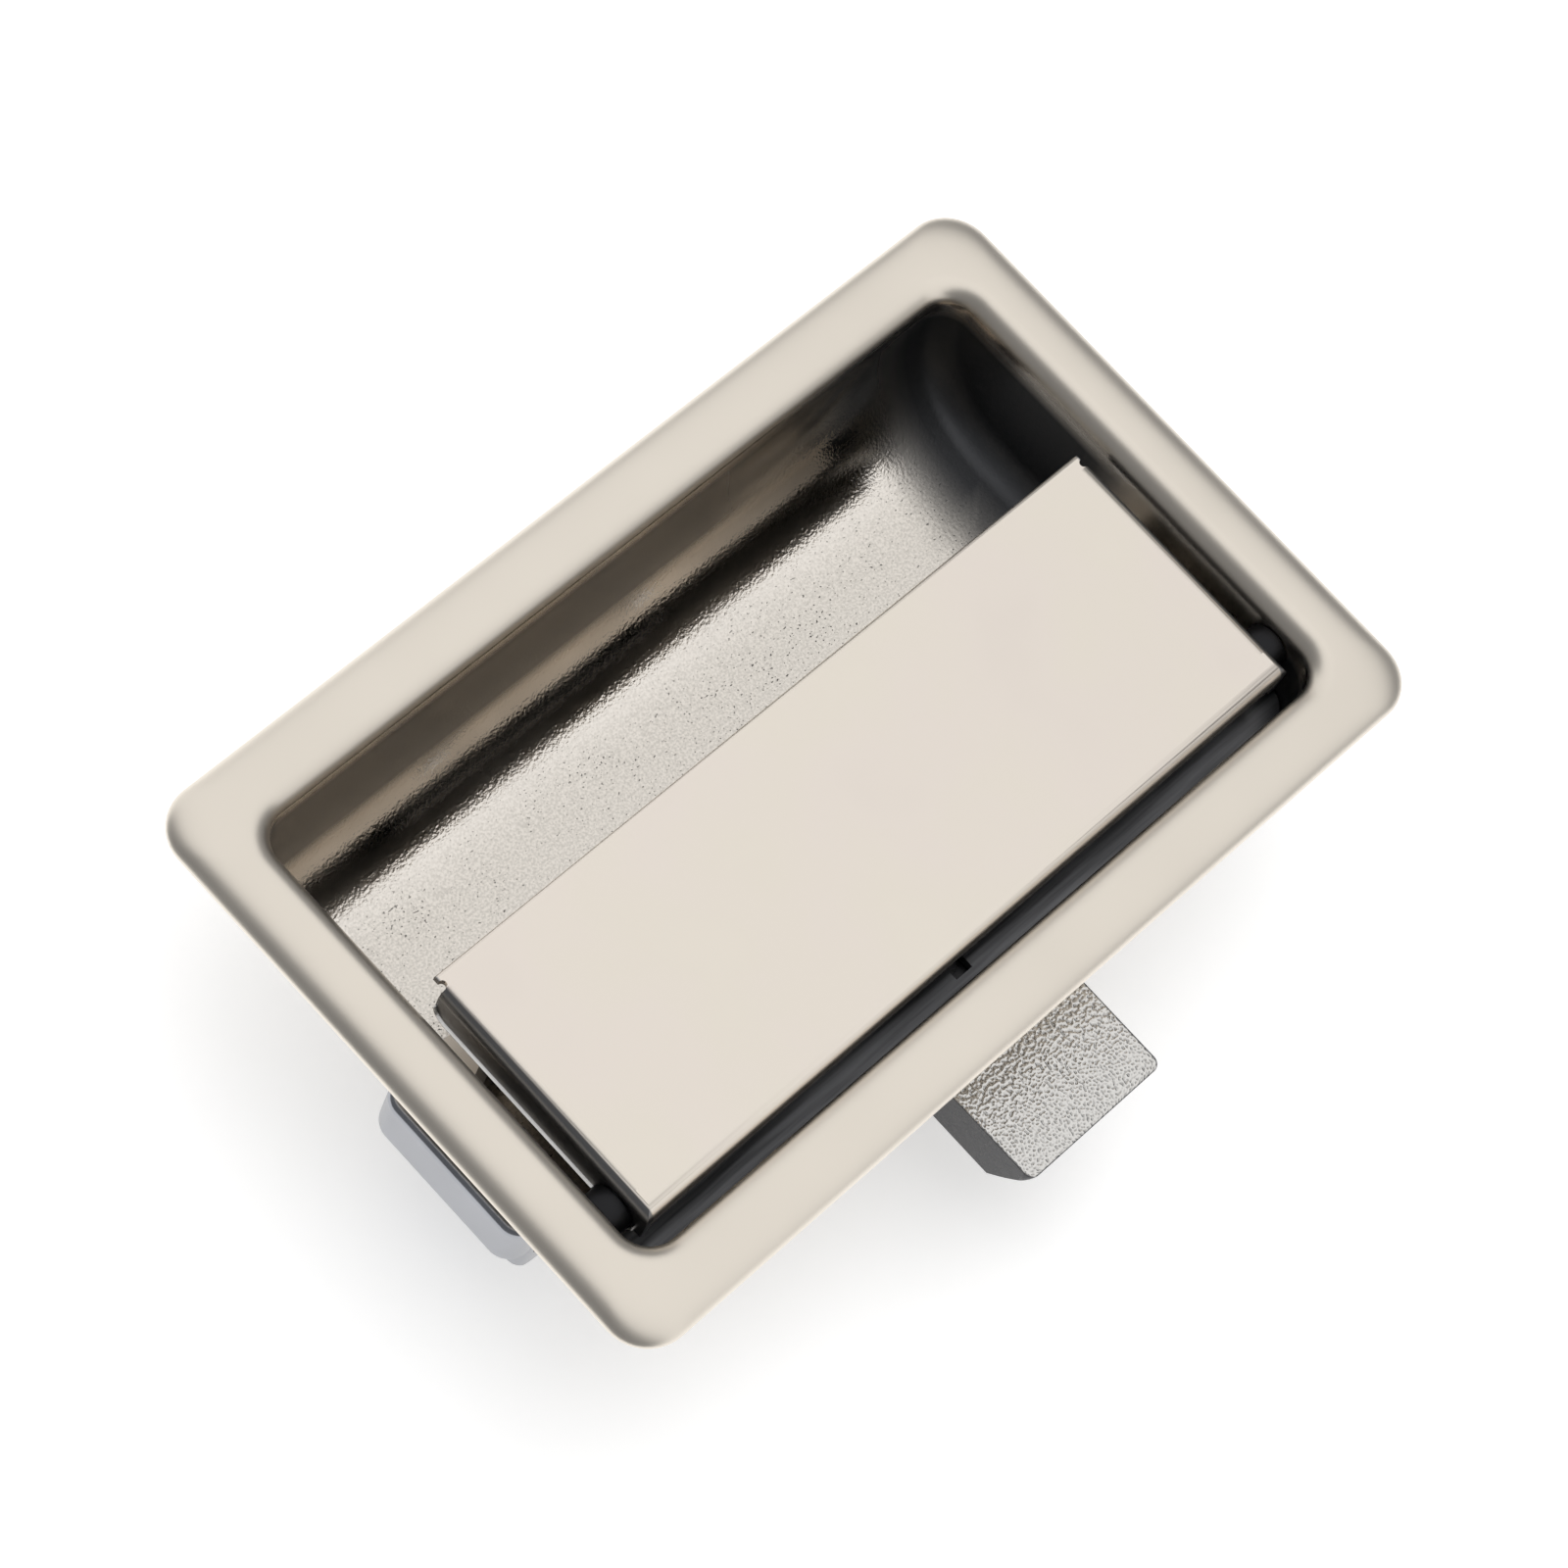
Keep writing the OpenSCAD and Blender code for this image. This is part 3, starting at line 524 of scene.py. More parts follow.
class Finishes:
    """The materials: one for each slot of the record, and those of single pieces."""

    def __init__(self) -> None:
        """Makes the materials."""
        finishes = {
            Slot.PADDLE: PaddleNickel(),
            Slot.PAN: PanNickel(),
            Slot.BOLT: PlatedSteel(
                "cast_nickel_sides", (0.075, 0.075, 0.078, 1), 0.23, marks_per_mm=1.2, marks_depth=0.01,
                marks_share=0.3, clouds_per_mm=1.2, shade=0.75, uneven=(1, 1.435),
            ),
            Slot.CLAMP: PlatedSteel("bright_zinc", (0.40, 0.41, 0.44, 1), 0.24, marks_depth=0.001),
            Slot.STEEL: PlatedSteel("bright_steel", (0.52, 0.515, 0.51, 1), 0.27),
            # The black steel's lighter streaks along X are painted reflection.
            Slot.BLACK: PlatedSteel(
                "black_steel", (0.19, 0.192, 0.2, 1), 0.32, (0.05, 1, 1), clouds_per_mm=0.8, shade=0.25
            ),
            Slot.SPRING: PlatedSteel("oiled_wire", (0.30, 0.30, 0.31, 1), 0.30),
        }
        self.by_slot = {slot: finish.material() for slot, finish in finishes.items()}
        self.grain = CastNickel().material()
        self.sleeve = PlatedSteel("dark_sleeve", (0.03, 0.03, 0.032, 1), 0.45).material()
        self.stop = PlatedSteel("matt_nickel", (0.79, 0.72, 0.63, 1), 0.5).material()
        # The lips' lighter, more neutral colour than the paddle's is partly a painted highlight; the rest of
        # their bright line is light caught by their tilted face.
        self.edge = PlatedSteel("lip_highlight_nickel", (0.85, 0.84, 0.82, 1), 0.35).material()


@dataclass
class PanSkin:
    """The drawn pan as two skins a sheet apart, joined at the flange's lip and at the bolt's window.

    A skin is a grid of rings. Each ring is a rectangle with round corners, and it starts at the near side.
    A span such as polish_z gives the places where a share is 0 and where it is 1.
    """

    sheet: float = 1.2
    band: float = 7.5
    corner_r: float = 3.5
    flange_corner_r: float = 5.0
    mouth_r: float = 2.4
    edge_r: float = 2.8
    trough_z: float = -3.0
    window_half: float = 9.7
    window_top: float = -9.95
    window_low: float = -17.15
    crown: Span = (3.2, 0.6)
    corner_points: int = 11
    side_points: int = 28
    wing_points: int = 26
    window_points: int = 13
    flange_rings: int = 22
    mouth_rings: int = 13
    wall_rings: int = 16
    window_rings: int = 25
    floor_rings: int = 6
    back_rings: int = 8
    back_wall_rings: int = 12
    back_floor_rings: int = 9
    polish_z: Span = (0.4, -1.0)
    # The painted shade and painted dark reflection fade in over these heights.
    inside_z: Span = (-0.8, -2.3)
    beside_y: Span = (5.8, -3.2)
    side_wall: float = 0.6
    side_polish: float = 0.6
    pit_height: float = 1.8
    # Where the painted shade and painted dark reflection lie: the recess's right end, a band high on the
    # trough's round, behind the paddle and deep in the gaps beside it.
    end_shade_x: Span = (34.5, 43.0)
    high_shade: float = 0.65
    high_shade_deg: Span = (34.0, 29.0)
    high_shade_x: Span = (28.0, 12.0)
    high_shade_y: Span = (20.0, 24.0)
    behind_y: Span = (-18.0, -22.0)
    gap_x: Span = (43.5, 45.0)
    gap_z: Span = (-8.0, -13.0)

    def __post_init__(self) -> None:
        """Works out the sizes that follow from the frame."""
        low, high = node_box("recess_pan")
        self.top = high[2]
        self.floor = low[2] + self.sheet
        self.recess = high[:2] - self.band
        self.flat_x = self.recess[0] - self.corner_r
        self.near_centre = -self.recess[1] + self.corner_r
        self.trough_r = self.trough_z - self.floor
        self.trough_y = self.recess[1] - self.trough_r
        self.mouth_z = self.top - self.mouth_r
        self.mouth_corner = self.corner_r + self.mouth_r
        wing = np.linspace(self.window_half, self.flat_x, self.wing_points)
        middle = np.linspace(-self.window_half, self.window_half, self.window_points)
        self.long_x = np.concatenate([-wing[:0:-1], middle, wing[1:]])

    def ring(self, z: float, flat_x: float, near: float, near_r: float, corner: Array) -> Array:
        """Goes once round the pan at one height.

        Args:
            z: Height.
            flat_x: Half length of the straight stretches along X.
            near: Y of the near side.
            near_r: Radius of the near corners.
            corner: Points [x, y] of the right far corner, from the end side to the far side.

        Returns:
            The ring's points, from the near side's left end, counter-clockwise from above.
        """
        x = self.long_x * flat_x / self.flat_x
        turn = np.linspace(-np.pi / 2, 0, self.corner_points)[1:-1]
        near_corner = points(flat_x + near_r * np.cos(turn), near + near_r + near_r * np.sin(turn))
        side = points(flat_x + near_r, np.linspace(near + near_r, corner[0, 1], self.side_points)[:-1])
        right = np.concatenate([near_corner, side, corner[:-1]])
        left = right[::-1] * (-1, 1)
        flat = np.concatenate([points(x, near), right, points(x[::-1], corner[-1, 1]), left])
        return points(*flat.T, z)

    def rim(self, z: float, out: float, radius: float) -> Array:
        """Gives a ring of the flange or the mouth.

        Args:
            z: Height.
            out: Distance out from the recess's wall.
            radius: Corner radius.

        Returns:
            The ring's points.
        """
        half = self.recess + out
        turn = np.linspace(0, np.pi / 2, self.corner_points)
        corner = half - radius + radius * points(np.cos(turn), np.sin(turn))
        return self.ring(z, half[0] - radius, -half[1], radius, corner)

    def mouth_rows(self, radius: float, turns: Array) -> list[Array]:
        """Gives the rings of the mouth's bend at angles down from its upper edge."""
        return [
            self.rim(self.mouth_z + up, self.mouth_r - inset, self.mouth_corner - inset)
            for up, inset in zip(radius * np.cos(turns), radius * np.sin(turns))
        ]

    def level(self, turn: float, grow: float) -> Array:
        """Gives a ring of the recess at an angle of the trough's round.

        The trough is a quarter of a cylinder. Its ends curve into the end walls with the corner radius, so
        a ring's far corner runs along the points that lie the same depth under the trough's axis.

        Args:
            turn: Angle down from the trough's upper edge, a quarter turn at the floor.
            grow: Distance out from the recess's inner face.

        Returns:
            The ring's points.
        """
        deep, radius = self.trough_r + grow, self.corner_r + grow
        core = deep - radius
        drop = deep * np.sin(turn)
        under = max(0.0, drop - core)
        near_r = np.sqrt(max(0.0, radius**2 - under**2))
        bend = np.linspace(np.arcsin(min(1.0, under / radius)), np.pi / 2, self.corner_points)
        reach = core + radius * np.sin(bend)
        corner_y = self.trough_y + np.sqrt(np.maximum(0.0, reach**2 - drop**2))
        corner = points(self.flat_x + radius * np.cos(bend), corner_y)
        return self.ring(self.trough_z - drop, self.flat_x, self.near_centre - near_r, near_r, corner)

    def turns(self, grow: float, *heights: float) -> list[float]:
        """Gives the angles of the trough's round at which it reaches the heights."""
        return [math.asin((self.trough_z - z) / (self.trough_r + grow)) for z in heights]

    def floor_rows(self, edge: Array) -> list[Array]:
        """Draws the floor's edge in to its middle line.

        Args:
            edge: The last ring of the wall.

        Returns:
            The rings, of which the last lies on the line.
        """
        middle = (self.near_centre + self.trough_y) / 2
        half = self.flat_x - (self.trough_y - middle)
        line = points(np.clip(edge[:, 0], -half, half), middle, edge[:, 2])
        return [edge + (line - edge) * step for step in np.linspace(0, 1, self.floor_rings)[1:]]

    def upper_rows(self) -> tuple[Array, int, int]:
        """Makes the skin that faces out: flange, mouth, walls and floor.

        The flange is crowned: with t from 0 at the mouth to 1 at the lip, its height is top (1 - t^p)^q.

        Returns:
            The rows, and the rows at the window's top and at the floor's edge.
        """
        power, root = self.crown
        height = np.sin(np.linspace(0, np.pi / 2, self.flange_rings))
        out = (1 - height ** (1 / root)) ** (1 / power)
        reach = self.band - self.mouth_r
        growth = self.flange_corner_r - self.mouth_corner
        rows = [
            self.rim(self.top * h, self.mouth_r + reach * t, self.mouth_corner + growth * t)
            for h, t in zip(height, out)
        ]
        rows += self.mouth_rows(self.mouth_r, np.linspace(0, np.pi / 2, self.mouth_rings)[1:])
        (window,) = self.turns(0, self.window_top)
        rows += [self.level(turn, 0) for turn in np.linspace(0, window, self.wall_rings)]
        window_row = len(rows) - 1
        rows += [self.level(turn, 0) for turn in np.linspace(window, np.pi / 2, self.window_rings)[1:]]
        floor_row = len(rows) - 1
        rows += self.floor_rows(rows[-1])
        return np.stack(rows), window_row, floor_row

    def under_rows(self) -> tuple[Array, int, int]:
        """Makes the skin behind: the flange's hollow, the outside of the walls and the underside.

        Returns:
            The rows, and the rows at the window's top and bottom.
        """
        inner_r = self.edge_r - self.sheet
        centre_z = self.top - self.edge_r
        run = math.sqrt(self.edge_r**2 - centre_z**2)
        flat_out = self.band - run
        flat_r = self.flange_corner_r - run
        rows = []
        for turn in np.linspace(math.acos(-centre_z / inner_r), 0, self.back_rings):
            out = inner_r * np.sin(turn)
            rows.append(self.rim(centre_z + inner_r * np.cos(turn), flat_out + out, flat_r + out))
        rows += self.mouth_rows(self.mouth_r - self.sheet, np.linspace(0, np.pi / 2, self.back_rings))
        top, low = self.turns(self.sheet, self.window_top, self.window_low)
        rows += [self.level(turn, self.sheet) for turn in np.linspace(0, top, self.back_wall_rings)]
        window_row = len(rows) - 1
        rows += [self.level(turn, self.sheet) for turn in np.linspace(top, low, self.window_rings)[1:]]
        low_row = len(rows) - 1
        rest = np.linspace(low, np.pi / 2, self.back_floor_rings)[1:]
        rows += [self.level(turn, self.sheet) for turn in rest]
        rows += self.floor_rows(rows[-1])
        return np.stack(rows), window_row, low_row

    def window(self, rows: Array, first: int, last: int) -> tuple[Array, Array]:
        """Cuts the bolt's window out of a skin.

        Args:
            rows: The skin.
            first: Row at the window's top.
            last: Row at its bottom.

        Returns:
            Which quads stay, and the points round the window from its upper left corner.
        """
        left = self.wing_points - 1
        right = left + self.window_points - 1
        keep = np.ones((len(rows) - 1, rows.shape[1]), bool)
        keep[first:last, left:right] = False
        top, bottom = rows[first, left:right], rows[last, right:left:-1]
        return keep, np.concatenate([top, rows[first:last, right], bottom, rows[last:first:-1, left]])

    @staticmethod
    def share(place: Array, span: Span) -> Array:
        """Gives how far places lie along a span, from 0 at its first end to 1 at its second."""
        return np.clip((place - span[0]) / (span[1] - span[0]), 0, 1)

    def ease(self, place: Array, span: Span) -> Array:
        """Gives the share s along a span with a gentle start and end, s^2 (3 - 2 s)."""
        share = self.share(place, span)
        return share * share * (3 - 2 * share)

    def wear(self, upper: Array) -> dict[str, Array]:
        """Says how the plating differs over the skin that faces out.

        It is polished below the mouth, less so beside the paddle. Pitting falls off with the height over
        the floor. Painted shade and painted dark reflection darken the recess's right end, behind the paddle
        and deep beside it and, less so, a band high on the trough's round.

        Args:
            upper: The skin's points.

        Returns:
            The attributes polish and pitting, and the share of painted shade and dark reflection, at every
            point.
        """
        x, y, z = np.moveaxis(upper, -1, 0)
        beside = self.ease(y, self.beside_y)
        by_wall = np.abs(x) > self.recess[0] - self.side_wall
        polish = self.share(z, self.polish_z) * (1 - self.side_polish * beside * by_wall)
        pits = 1 - self.share(z, (self.floor, self.floor + self.pit_height))
        round_deg = np.degrees(np.arcsin(np.clip((self.trough_z - z) / self.trough_r, 0, 1)))
        high = self.ease(round_deg, self.high_shade_deg) * self.ease(x, self.high_shade_x)
        high = high * self.ease(y, self.high_shade_y) * self.high_shade
        end = self.ease(x, self.end_shade_x) * (1 - beside)
        gap = self.ease(np.abs(x), self.gap_x) * beside * self.ease(z, self.gap_z)
        # Painted shade and painted dark reflection: the strongest of the four zones.
        dullness = np.maximum.reduce([end, high, self.ease(y, self.behind_y), gap])
        return {
            "polish": polish,
            "pitting": np.where(z < self.mouth_z, pits, 0),
            "dullness": dullness * self.share(z, self.inside_z),
        }

    def build(self) -> Piece:
        """Makes the pan.

        Returns:
            The piece, with the attributes polish, pitting and dullness.
        """
        upper, *upper_window = self.upper_rows()
        under, *under_window = self.under_rows()
        upper_quads, upper_loop = self.window(upper, *upper_window)
        under_quads, under_loop = self.window(under, *under_window)
        work = Patchwork()
        work.add(upper, True, upper_quads, **self.wear(upper))
        # The back skin gets a little painted shade all over.
        work.add(under, True, under_quads, polish=0.3, pitting=0.2, dullness=0.2)
        work.add(np.stack([upper[0], under[0]]), True, polish=0.0, pitting=0.0, dullness=0.0)
        work.add(np.stack([upper_loop, under_loop]), True, polish=0.3, pitting=0.2, dullness=0.0)
        return work.build("pan_skin")


@dataclass
class BoltGrain:
    """The hammered skin on the bolt's upper face, a shallow relief with its rim sunk into the casting."""

    half: float = 9.45
    edge: float = 0.03
    tip_corner_r: float = 1.1
    back: float = -27.6
    step: float = 0.09
    wave: float = 0.40
    wrinkle: float = 0.80
    wrinkle_y: Span = (-41.0, -36.0)
    wrinkle_share: Span = (0.15, 0.75)
    purity: float = 2.2
    steep: float = 2.2
    shift: float = 0.5
    height: float = 0.10
    rim_z: float = -0.02
    lift: float = 0.03
    sink: float = 0.3
    seed: int = 7

    def waves(self, rows: int, columns: int, wave: float) -> Array:
        """Gives random heights of one main wavelength: white noise keeps only the waves near that length.

        Args:
            rows: Rows of the grid.
            columns: Columns of the grid.
            wave: The wavelength in millimetres.

        Returns:
            Heights with a spread of 1 about 0.
        """
        noise = np.random.default_rng(self.seed).standard_normal((rows, columns))
        down, across = np.fft.fftfreq(rows, self.step), np.fft.fftfreq(columns, self.step)
        length = np.hypot(down[:, None], across)
        ring = np.exp(-(((length - 1 / wave) * wave * self.purity) ** 2))
        heights = np.real(np.fft.ifft2(np.fft.fft2(noise) * ring))
        return heights / heights.std()

    def field(self, y: Array, columns: int) -> Array:
        """Gives the grain's heights.

        Fine waves turn into coarser wrinkles towards the flange. The peaks of their sum h are then
        flattened by 1 / (1 + exp(-steep (h + shift))), so that low knobs stay between narrow hollows.

        Args:
            y: The rows' places along the bolt.
            columns: Columns of the grid.

        Returns:
            Heights from 0 to 1.
        """
        fine = self.waves(len(y), columns, self.wave)
        coarse = self.waves(len(y), columns, self.wrinkle)
        share = np.interp(y, self.wrinkle_y, self.wrinkle_share)[:, None]
        both = fine * np.sqrt(1 - share**2) + coarse * share
        return 1 / (1 + np.exp(-self.steep * (both + self.shift)))

    def build(self) -> Piece:
        """Makes the relief.

        Returns:
            The piece, with the attribute grain.
        """
        low, high = node_box("slam_bolt")
        tip, top = low[1], high[2]
        y = np.arange(tip + self.edge, self.back, self.step)
        corner = np.maximum(0.0, tip + self.tip_corner_r - y)
        inset = self.tip_corner_r - np.sqrt(np.maximum(0.0, self.tip_corner_r**2 - corner**2))
        width = self.half - self.edge - inset
        across = np.linspace(-1, 1, int(2 * self.half / self.step))
        heights = self.field(y, len(across))
        x = width[:, None] * across
        ends = np.minimum(y - y[0], y[-1] - y)[:, None]
        rim = np.minimum(width[:, None] - np.abs(x), ends)
        cover = np.clip(rim / (2 * self.step), 0, 1)
        z = top + self.rim_z + cover * (self.lift + self.height * heights)
        upper = points(x, y[:, None], z)
        lower = points(x, y[:, None], top - self.sink)
        edge = np.concatenate([upper[0, :-1], upper[:-1, -1], upper[-1, :0:-1], upper[:0:-1, 0]])
        skirt = points(*edge.T[:2], top - self.sink)
        work = Patchwork()
        work.add(upper, grain=heights * cover)
        work.add(np.stack([edge, skirt]), True, grain=0.0)
        work.add(lower[:: len(y) - 1, :: len(across) - 1], grain=0.0)
        return work.build("bolt_grain", sharp_deg=180.0)


@dataclass
class Springs:
    """The paddle's torsion springs and the bolt's compression springs."""

    pin_y: float = -21.2
    pin_z: float = -3.2
    coil_r: float = 2.1
    paddle_wire_r: float = 0.4
    pitch: float = 0.95
    leg_x: float = 0.65
    turns: float = 5.5
    hook_z: float = -8.2
    hook_r: float = 1.0
    paddle_normal: Triple = (1, 0.31, 0.13)
    bolt_wire_r: float = 0.35
    bolt_turns: int = 6
    bolt_normal: Triple = (0, 1, 0)
    bolt_range: float = 8.6
    steps: int = 28
    sides: int = 14
    leg_points: int = 12
    hook_points: int = 9
    fall_points: int = 8

    def torsion_path(self) -> Array:
        """Gives the right torsion spring's line: a straight leg, a helix round the pin, and a hooked leg.

        Returns:
            The path's points.
        """
        low, high = node_box("paddle_spring_right")
        u = np.arange(int(self.turns * self.steps) + 1) / self.steps
        angle = np.pi - 2 * np.pi * u
        helix = points(
            self.leg_x + self.pitch * u,
            self.pin_y + self.coil_r * np.cos(angle),
            self.pin_z + self.coil_r * np.sin(angle),
        )
        leg = points(*helix[0, :2], np.linspace(low[2], self.pin_z, self.leg_points)[:-1])
        bend = np.linspace(0, np.pi / 2, self.hook_points)
        hook = points(
            helix[-1, 0] + self.hook_r * (1 - np.cos(bend)),
            helix[-1, 1],
            self.hook_z + self.hook_r * (1 - np.sin(bend)),
        )
        tail = points(np.linspace(hook[-1, 0], high[0], self.leg_points)[1:], *hook[-1, 1:])
        fall = np.linspace(helix[-1], hook[0], self.fall_points)[1:-1]
        return np.concatenate([leg, helix, fall, hook, tail])

    def compression_path(self, side: int) -> Array:
        """Gives a compression spring's centre line: a helix along Y whose end turns are closed.

        Args:
            side: -1 on the left, 1 on the right.

        Returns:
            The path's points.
        """
        low, high = node_box("bolt_spring_right")
        middle = (low + high) / 2
        radius = (high[2] - low[2]) / 2 - self.bolt_wire_r
        wire = 2 * self.bolt_wire_r
        u = np.arange(self.bolt_turns * self.steps + 1) / self.steps
        opened = np.clip(u - 1, 0, self.bolt_turns - 2)
        first, last = low[1] + self.bolt_wire_r, high[1] - self.bolt_wire_r
        pitch = (last - first - 2 * wire) / (self.bolt_turns - 2)
        return points(
            side * middle[0] + radius * np.cos(2 * np.pi * u),
            first + wire * (u - opened) + pitch * opened,
            middle[2] + radius * np.sin(2 * np.pi * u),
        )

    def wire(self, name: str, radius: float, path: Array, normal: Triple) -> Piece:
        """Carries a circle along a path. Its first axis is the normal made square to the path.

        Args:
            name: Name of the piece.
            radius: The wire's radius.
            path: Its centre line.
            normal: Direction that is nowhere along the path.

        Returns:
            The piece.
        """
        ahead = unit(np.gradient(path, axis=0))
        first = unit(np.array(normal) - ahead * (ahead @ np.array(normal))[:, None])
        second = np.cross(ahead, first)
        turn = np.linspace(0, 2 * np.pi, self.sides, endpoint=False)[:, None]
        circles = np.cos(turn) * first[:, None] + np.sin(turn) * second[:, None]
        return rod(name, path[:, None] + radius * circles)

    def build(self, finishes: Finishes) -> None:
        """Makes the four springs: two torsion springs for the paddle, and two compression springs for the
        bolt.

        Args:
            finishes: The materials.
        """
        material = finishes.by_slot[Slot.SPRING]
        for side, name in ((-1, "left"), (1, "right")):
            path = self.torsion_path() * (side, 1, 1)
            piece = self.wire(f"torsion_wire_{name}", self.paddle_wire_r, path, self.paddle_normal)
            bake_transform(piece)
            seat(piece, None, Slot.SPRING, material, f"paddle_spring_{name}")
            path = self.compression_path(side)
            piece = self.wire(f"compression_wire_{name}", self.bolt_wire_r, path, self.bolt_normal)
            seat(piece, Body.HOUSING, Slot.SPRING, material, f"bolt_spring_{name}")
            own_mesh(piece)


@dataclass
class ThreadedStuds:
    """Weld studs with a rolled thread."""

    pitch: float = 0.7
    depth: float = 0.30
    bead: float = 0.5
    chamfer: float = 0.5
    wave_mean: float = 0.5
    wave_swing: float = 0.75
    sides: int = 48
    per_pitch: int = 12

    def build(self, finishes: Finishes) -> None:
        """Makes both studs.

        A stud's radius at a height z and an angle a falls by the depth times a wave of z / pitch - a / turn.
        It is flat at the crests and dies out at the weld, and a chamfer cuts it at the free end.

        Args:
            finishes: The materials.
        """
        for name in ("left", "right"):
            low, high = node_box(f"stud_{name}")
            middle = (low + high) / 2
            full = (high[0] - low[0]) / 2 - self.bead
            z = np.arange(low[2], high[2] - self.bead, self.pitch / self.per_pitch)
            z = np.append(z, [high[2] - self.bead, high[2]])
            turn = np.linspace(0, 2 * np.pi, self.sides, endpoint=False)
            phase = z[:, None] / self.pitch - turn / (2 * np.pi)
            groove = np.clip(self.wave_mean - self.wave_swing * np.cos(2 * np.pi * phase), 0, 1)
            fade = np.clip((high[2] - self.bead - z) / self.pitch, 0, 1)[:, None]
            radius = full - self.depth * groove * fade
            radius = np.minimum(radius, full - self.chamfer + (z - low[2])[:, None])
            radius[-1] = full + self.bead
            x, y = middle[0] + radius * np.cos(turn), middle[1] + radius * np.sin(turn)
            piece = rod(f"threaded_stud_{name}", points(x, y, z[:, None]))
            seat(piece, Body.HOUSING, Slot.STEEL, finishes.by_slot[Slot.STEEL], f"stud_{name}")


@dataclass
class CheekLips:
    """The narrow turned-out lip along the lower edge of each of the paddle's cheeks."""

    low: float = -4.4
    front: float = 4.2
    nose_r: float = 2.0
    ear_r: float = 3.0
    pin: Span = (-21.2, -3.2)
    rear: float = -24.1
    reach: float = 0.32
    fall: float = 0.09
    thick: float = 0.2
    root: float = 0.15
    toe: Span = (0.2, 0.02)
    nose_start: float = -0.1
    nose_points: int = 14
    bottom_points: int = 16
    ear_points: int = 20
    sharp_deg: float = 30.0

    def outline(self) -> Array:
        """Gives the cheek's edge from the side: down the round nose, along the bottom and round the ear.

        Returns:
            The points [y, z] from the nose to the ear's rear.
        """
        nose = np.linspace(self.nose_start, -np.pi / 2, self.nose_points)
        centre = np.array([self.front - self.nose_r, self.low + self.nose_r])
        round_nose = centre + self.nose_r * points(np.cos(nose), np.sin(nose))
        first = math.asin((self.low - self.pin[1]) / self.ear_r)
        last = -np.pi + math.acos((self.pin[0] - self.rear) / self.ear_r)
        ear = np.linspace(first, last, self.ear_points)
        round_ear = np.array(self.pin) + self.ear_r * points(np.cos(ear), np.sin(ear))
        bottom = np.linspace(round_nose[-1], round_ear[0], self.bottom_points)[1:-1]
        return np.concatenate([round_nose, bottom, round_ear])

    def build(self, finishes: Finishes) -> None:
        """Makes both lips.

        A lip is the section [out, in] carried along the cheek's edge, where out is along X and in is square
        to the edge, towards the cheek's middle. Its upper face falls outwards, so that it catches light.

        Args:
            finishes: The materials.
        """
        edge = self.outline()
        ahead = unit(np.gradient(edge, axis=0))
        inward = points(ahead[:, 1], -ahead[:, 0])
        section = np.array([
            [-self.root, self.thick], [0, self.thick], [self.reach, self.thick - self.fall],
            [self.reach, self.toe[1]], [self.toe[0], 0], [-self.root, 0],
        ])
        face = node_box("paddle")[1][0]
        for side, name in ((-1, "left"), (1, "right")):
            flat = edge[:, None] + inward[:, None] * section[:, 1:]
            rings = points(side * (face + section[:, 0]), *np.moveaxis(flat, -1, 0))
            lip = rod(f"cheek_lip_{name}", rings, self.sharp_deg)
            seat(lip, Body.HANDLE, Slot.PADDLE, finishes.edge)


@dataclass
class PlainPieces:
    """The pieces whose solids are shown as they are, with the sharp ones' edges broken."""

    edge: float = 0.15
    own_edges: dict[str, float] = field(default_factory=lambda: {"slam_bolt": 0.2, "paddle": 0.1})
    round_pieces: tuple[str, ...] = ("clamp_left", "clamp_right", "hinge_pin")
    weld: float = 0.001
    segments: int = 3
    sharp_deg: float = 40.0

    def break_edges(self, piece: Piece, width: float) -> None:
        """Puts a small round on a solid's sharp edges.

        Args:
            piece: The solid.
            width: Width of the round in millimetres.
        """
        weld = piece.modifiers.new("weld", "WELD")
        weld.merge_threshold = self.weld * MM
        bevel = piece.modifiers.new("edges", "BEVEL")
        bevel.width = width * MM
        bevel.segments = self.segments
        bevel.limit_method = "ANGLE"
        bevel.angle_limit = math.radians(self.sharp_deg)
        bevel.harden_normals = True

    def dress(self, finishes: Finishes) -> None:
        """Gives every solid its finish and breaks the edges of those that are shown.

        Args:
            finishes: The materials.
        """
        own = dict.fromkeys(("spacer_left", "spacer_right"), finishes.sleeve)
        own["spring_stop"] = finishes.stop
        slots = {row["node"]: Slot(row["material_slot"]) for row in frame["record"]["subparts"]}
        for node, piece in frame["nodes"].items():
            dress(piece, own.get(node, finishes.by_slot[slots[node]]))
            if piece.hide_render:
                continue
            if node not in self.round_pieces:
                self.break_edges(piece, self.own_edges.get(node, self.edge))
            LOG.info("%s: solid of %d faces", node, len(piece.data.polygons))


@dataclass(frozen=True)
class PhotoCamera:
    """The photograph's camera, solved from the flange's corners."""

    place: Triple = (-188.248, -67.513, 412.062)
    forward: Triple = (0.40356462, 0.1455064, -0.90330697)
    up: Triple = (0.58185541, 0.72110122, 0.37610813)
    focal_px: float = 4775.436
    image_px: float = 1600.0
    sensor: float = 36.0
    near: float = 10.0

    def build(self) -> None:
        """Makes the scene's camera."""
        data = bpy.data.cameras.new("camera")
        data.sensor_width = self.sensor
        data.lens = self.sensor * self.focal_px / self.image_px
        data.clip_start = self.near * MM
        forward, up = Vector(self.forward).normalized(), Vector(self.up)
        right = forward.cross(up).normalized()
        turned = Matrix((right, right.cross(forward), -forward)).transposed().to_4x4()
        camera = bpy.data.objects.new("camera", data)
        camera.matrix_world = Matrix.Translation(Vector(self.place) * MM) @ turned
        bpy.context.scene.collection.objects.link(camera)
        bpy.context.scene.camera = camera


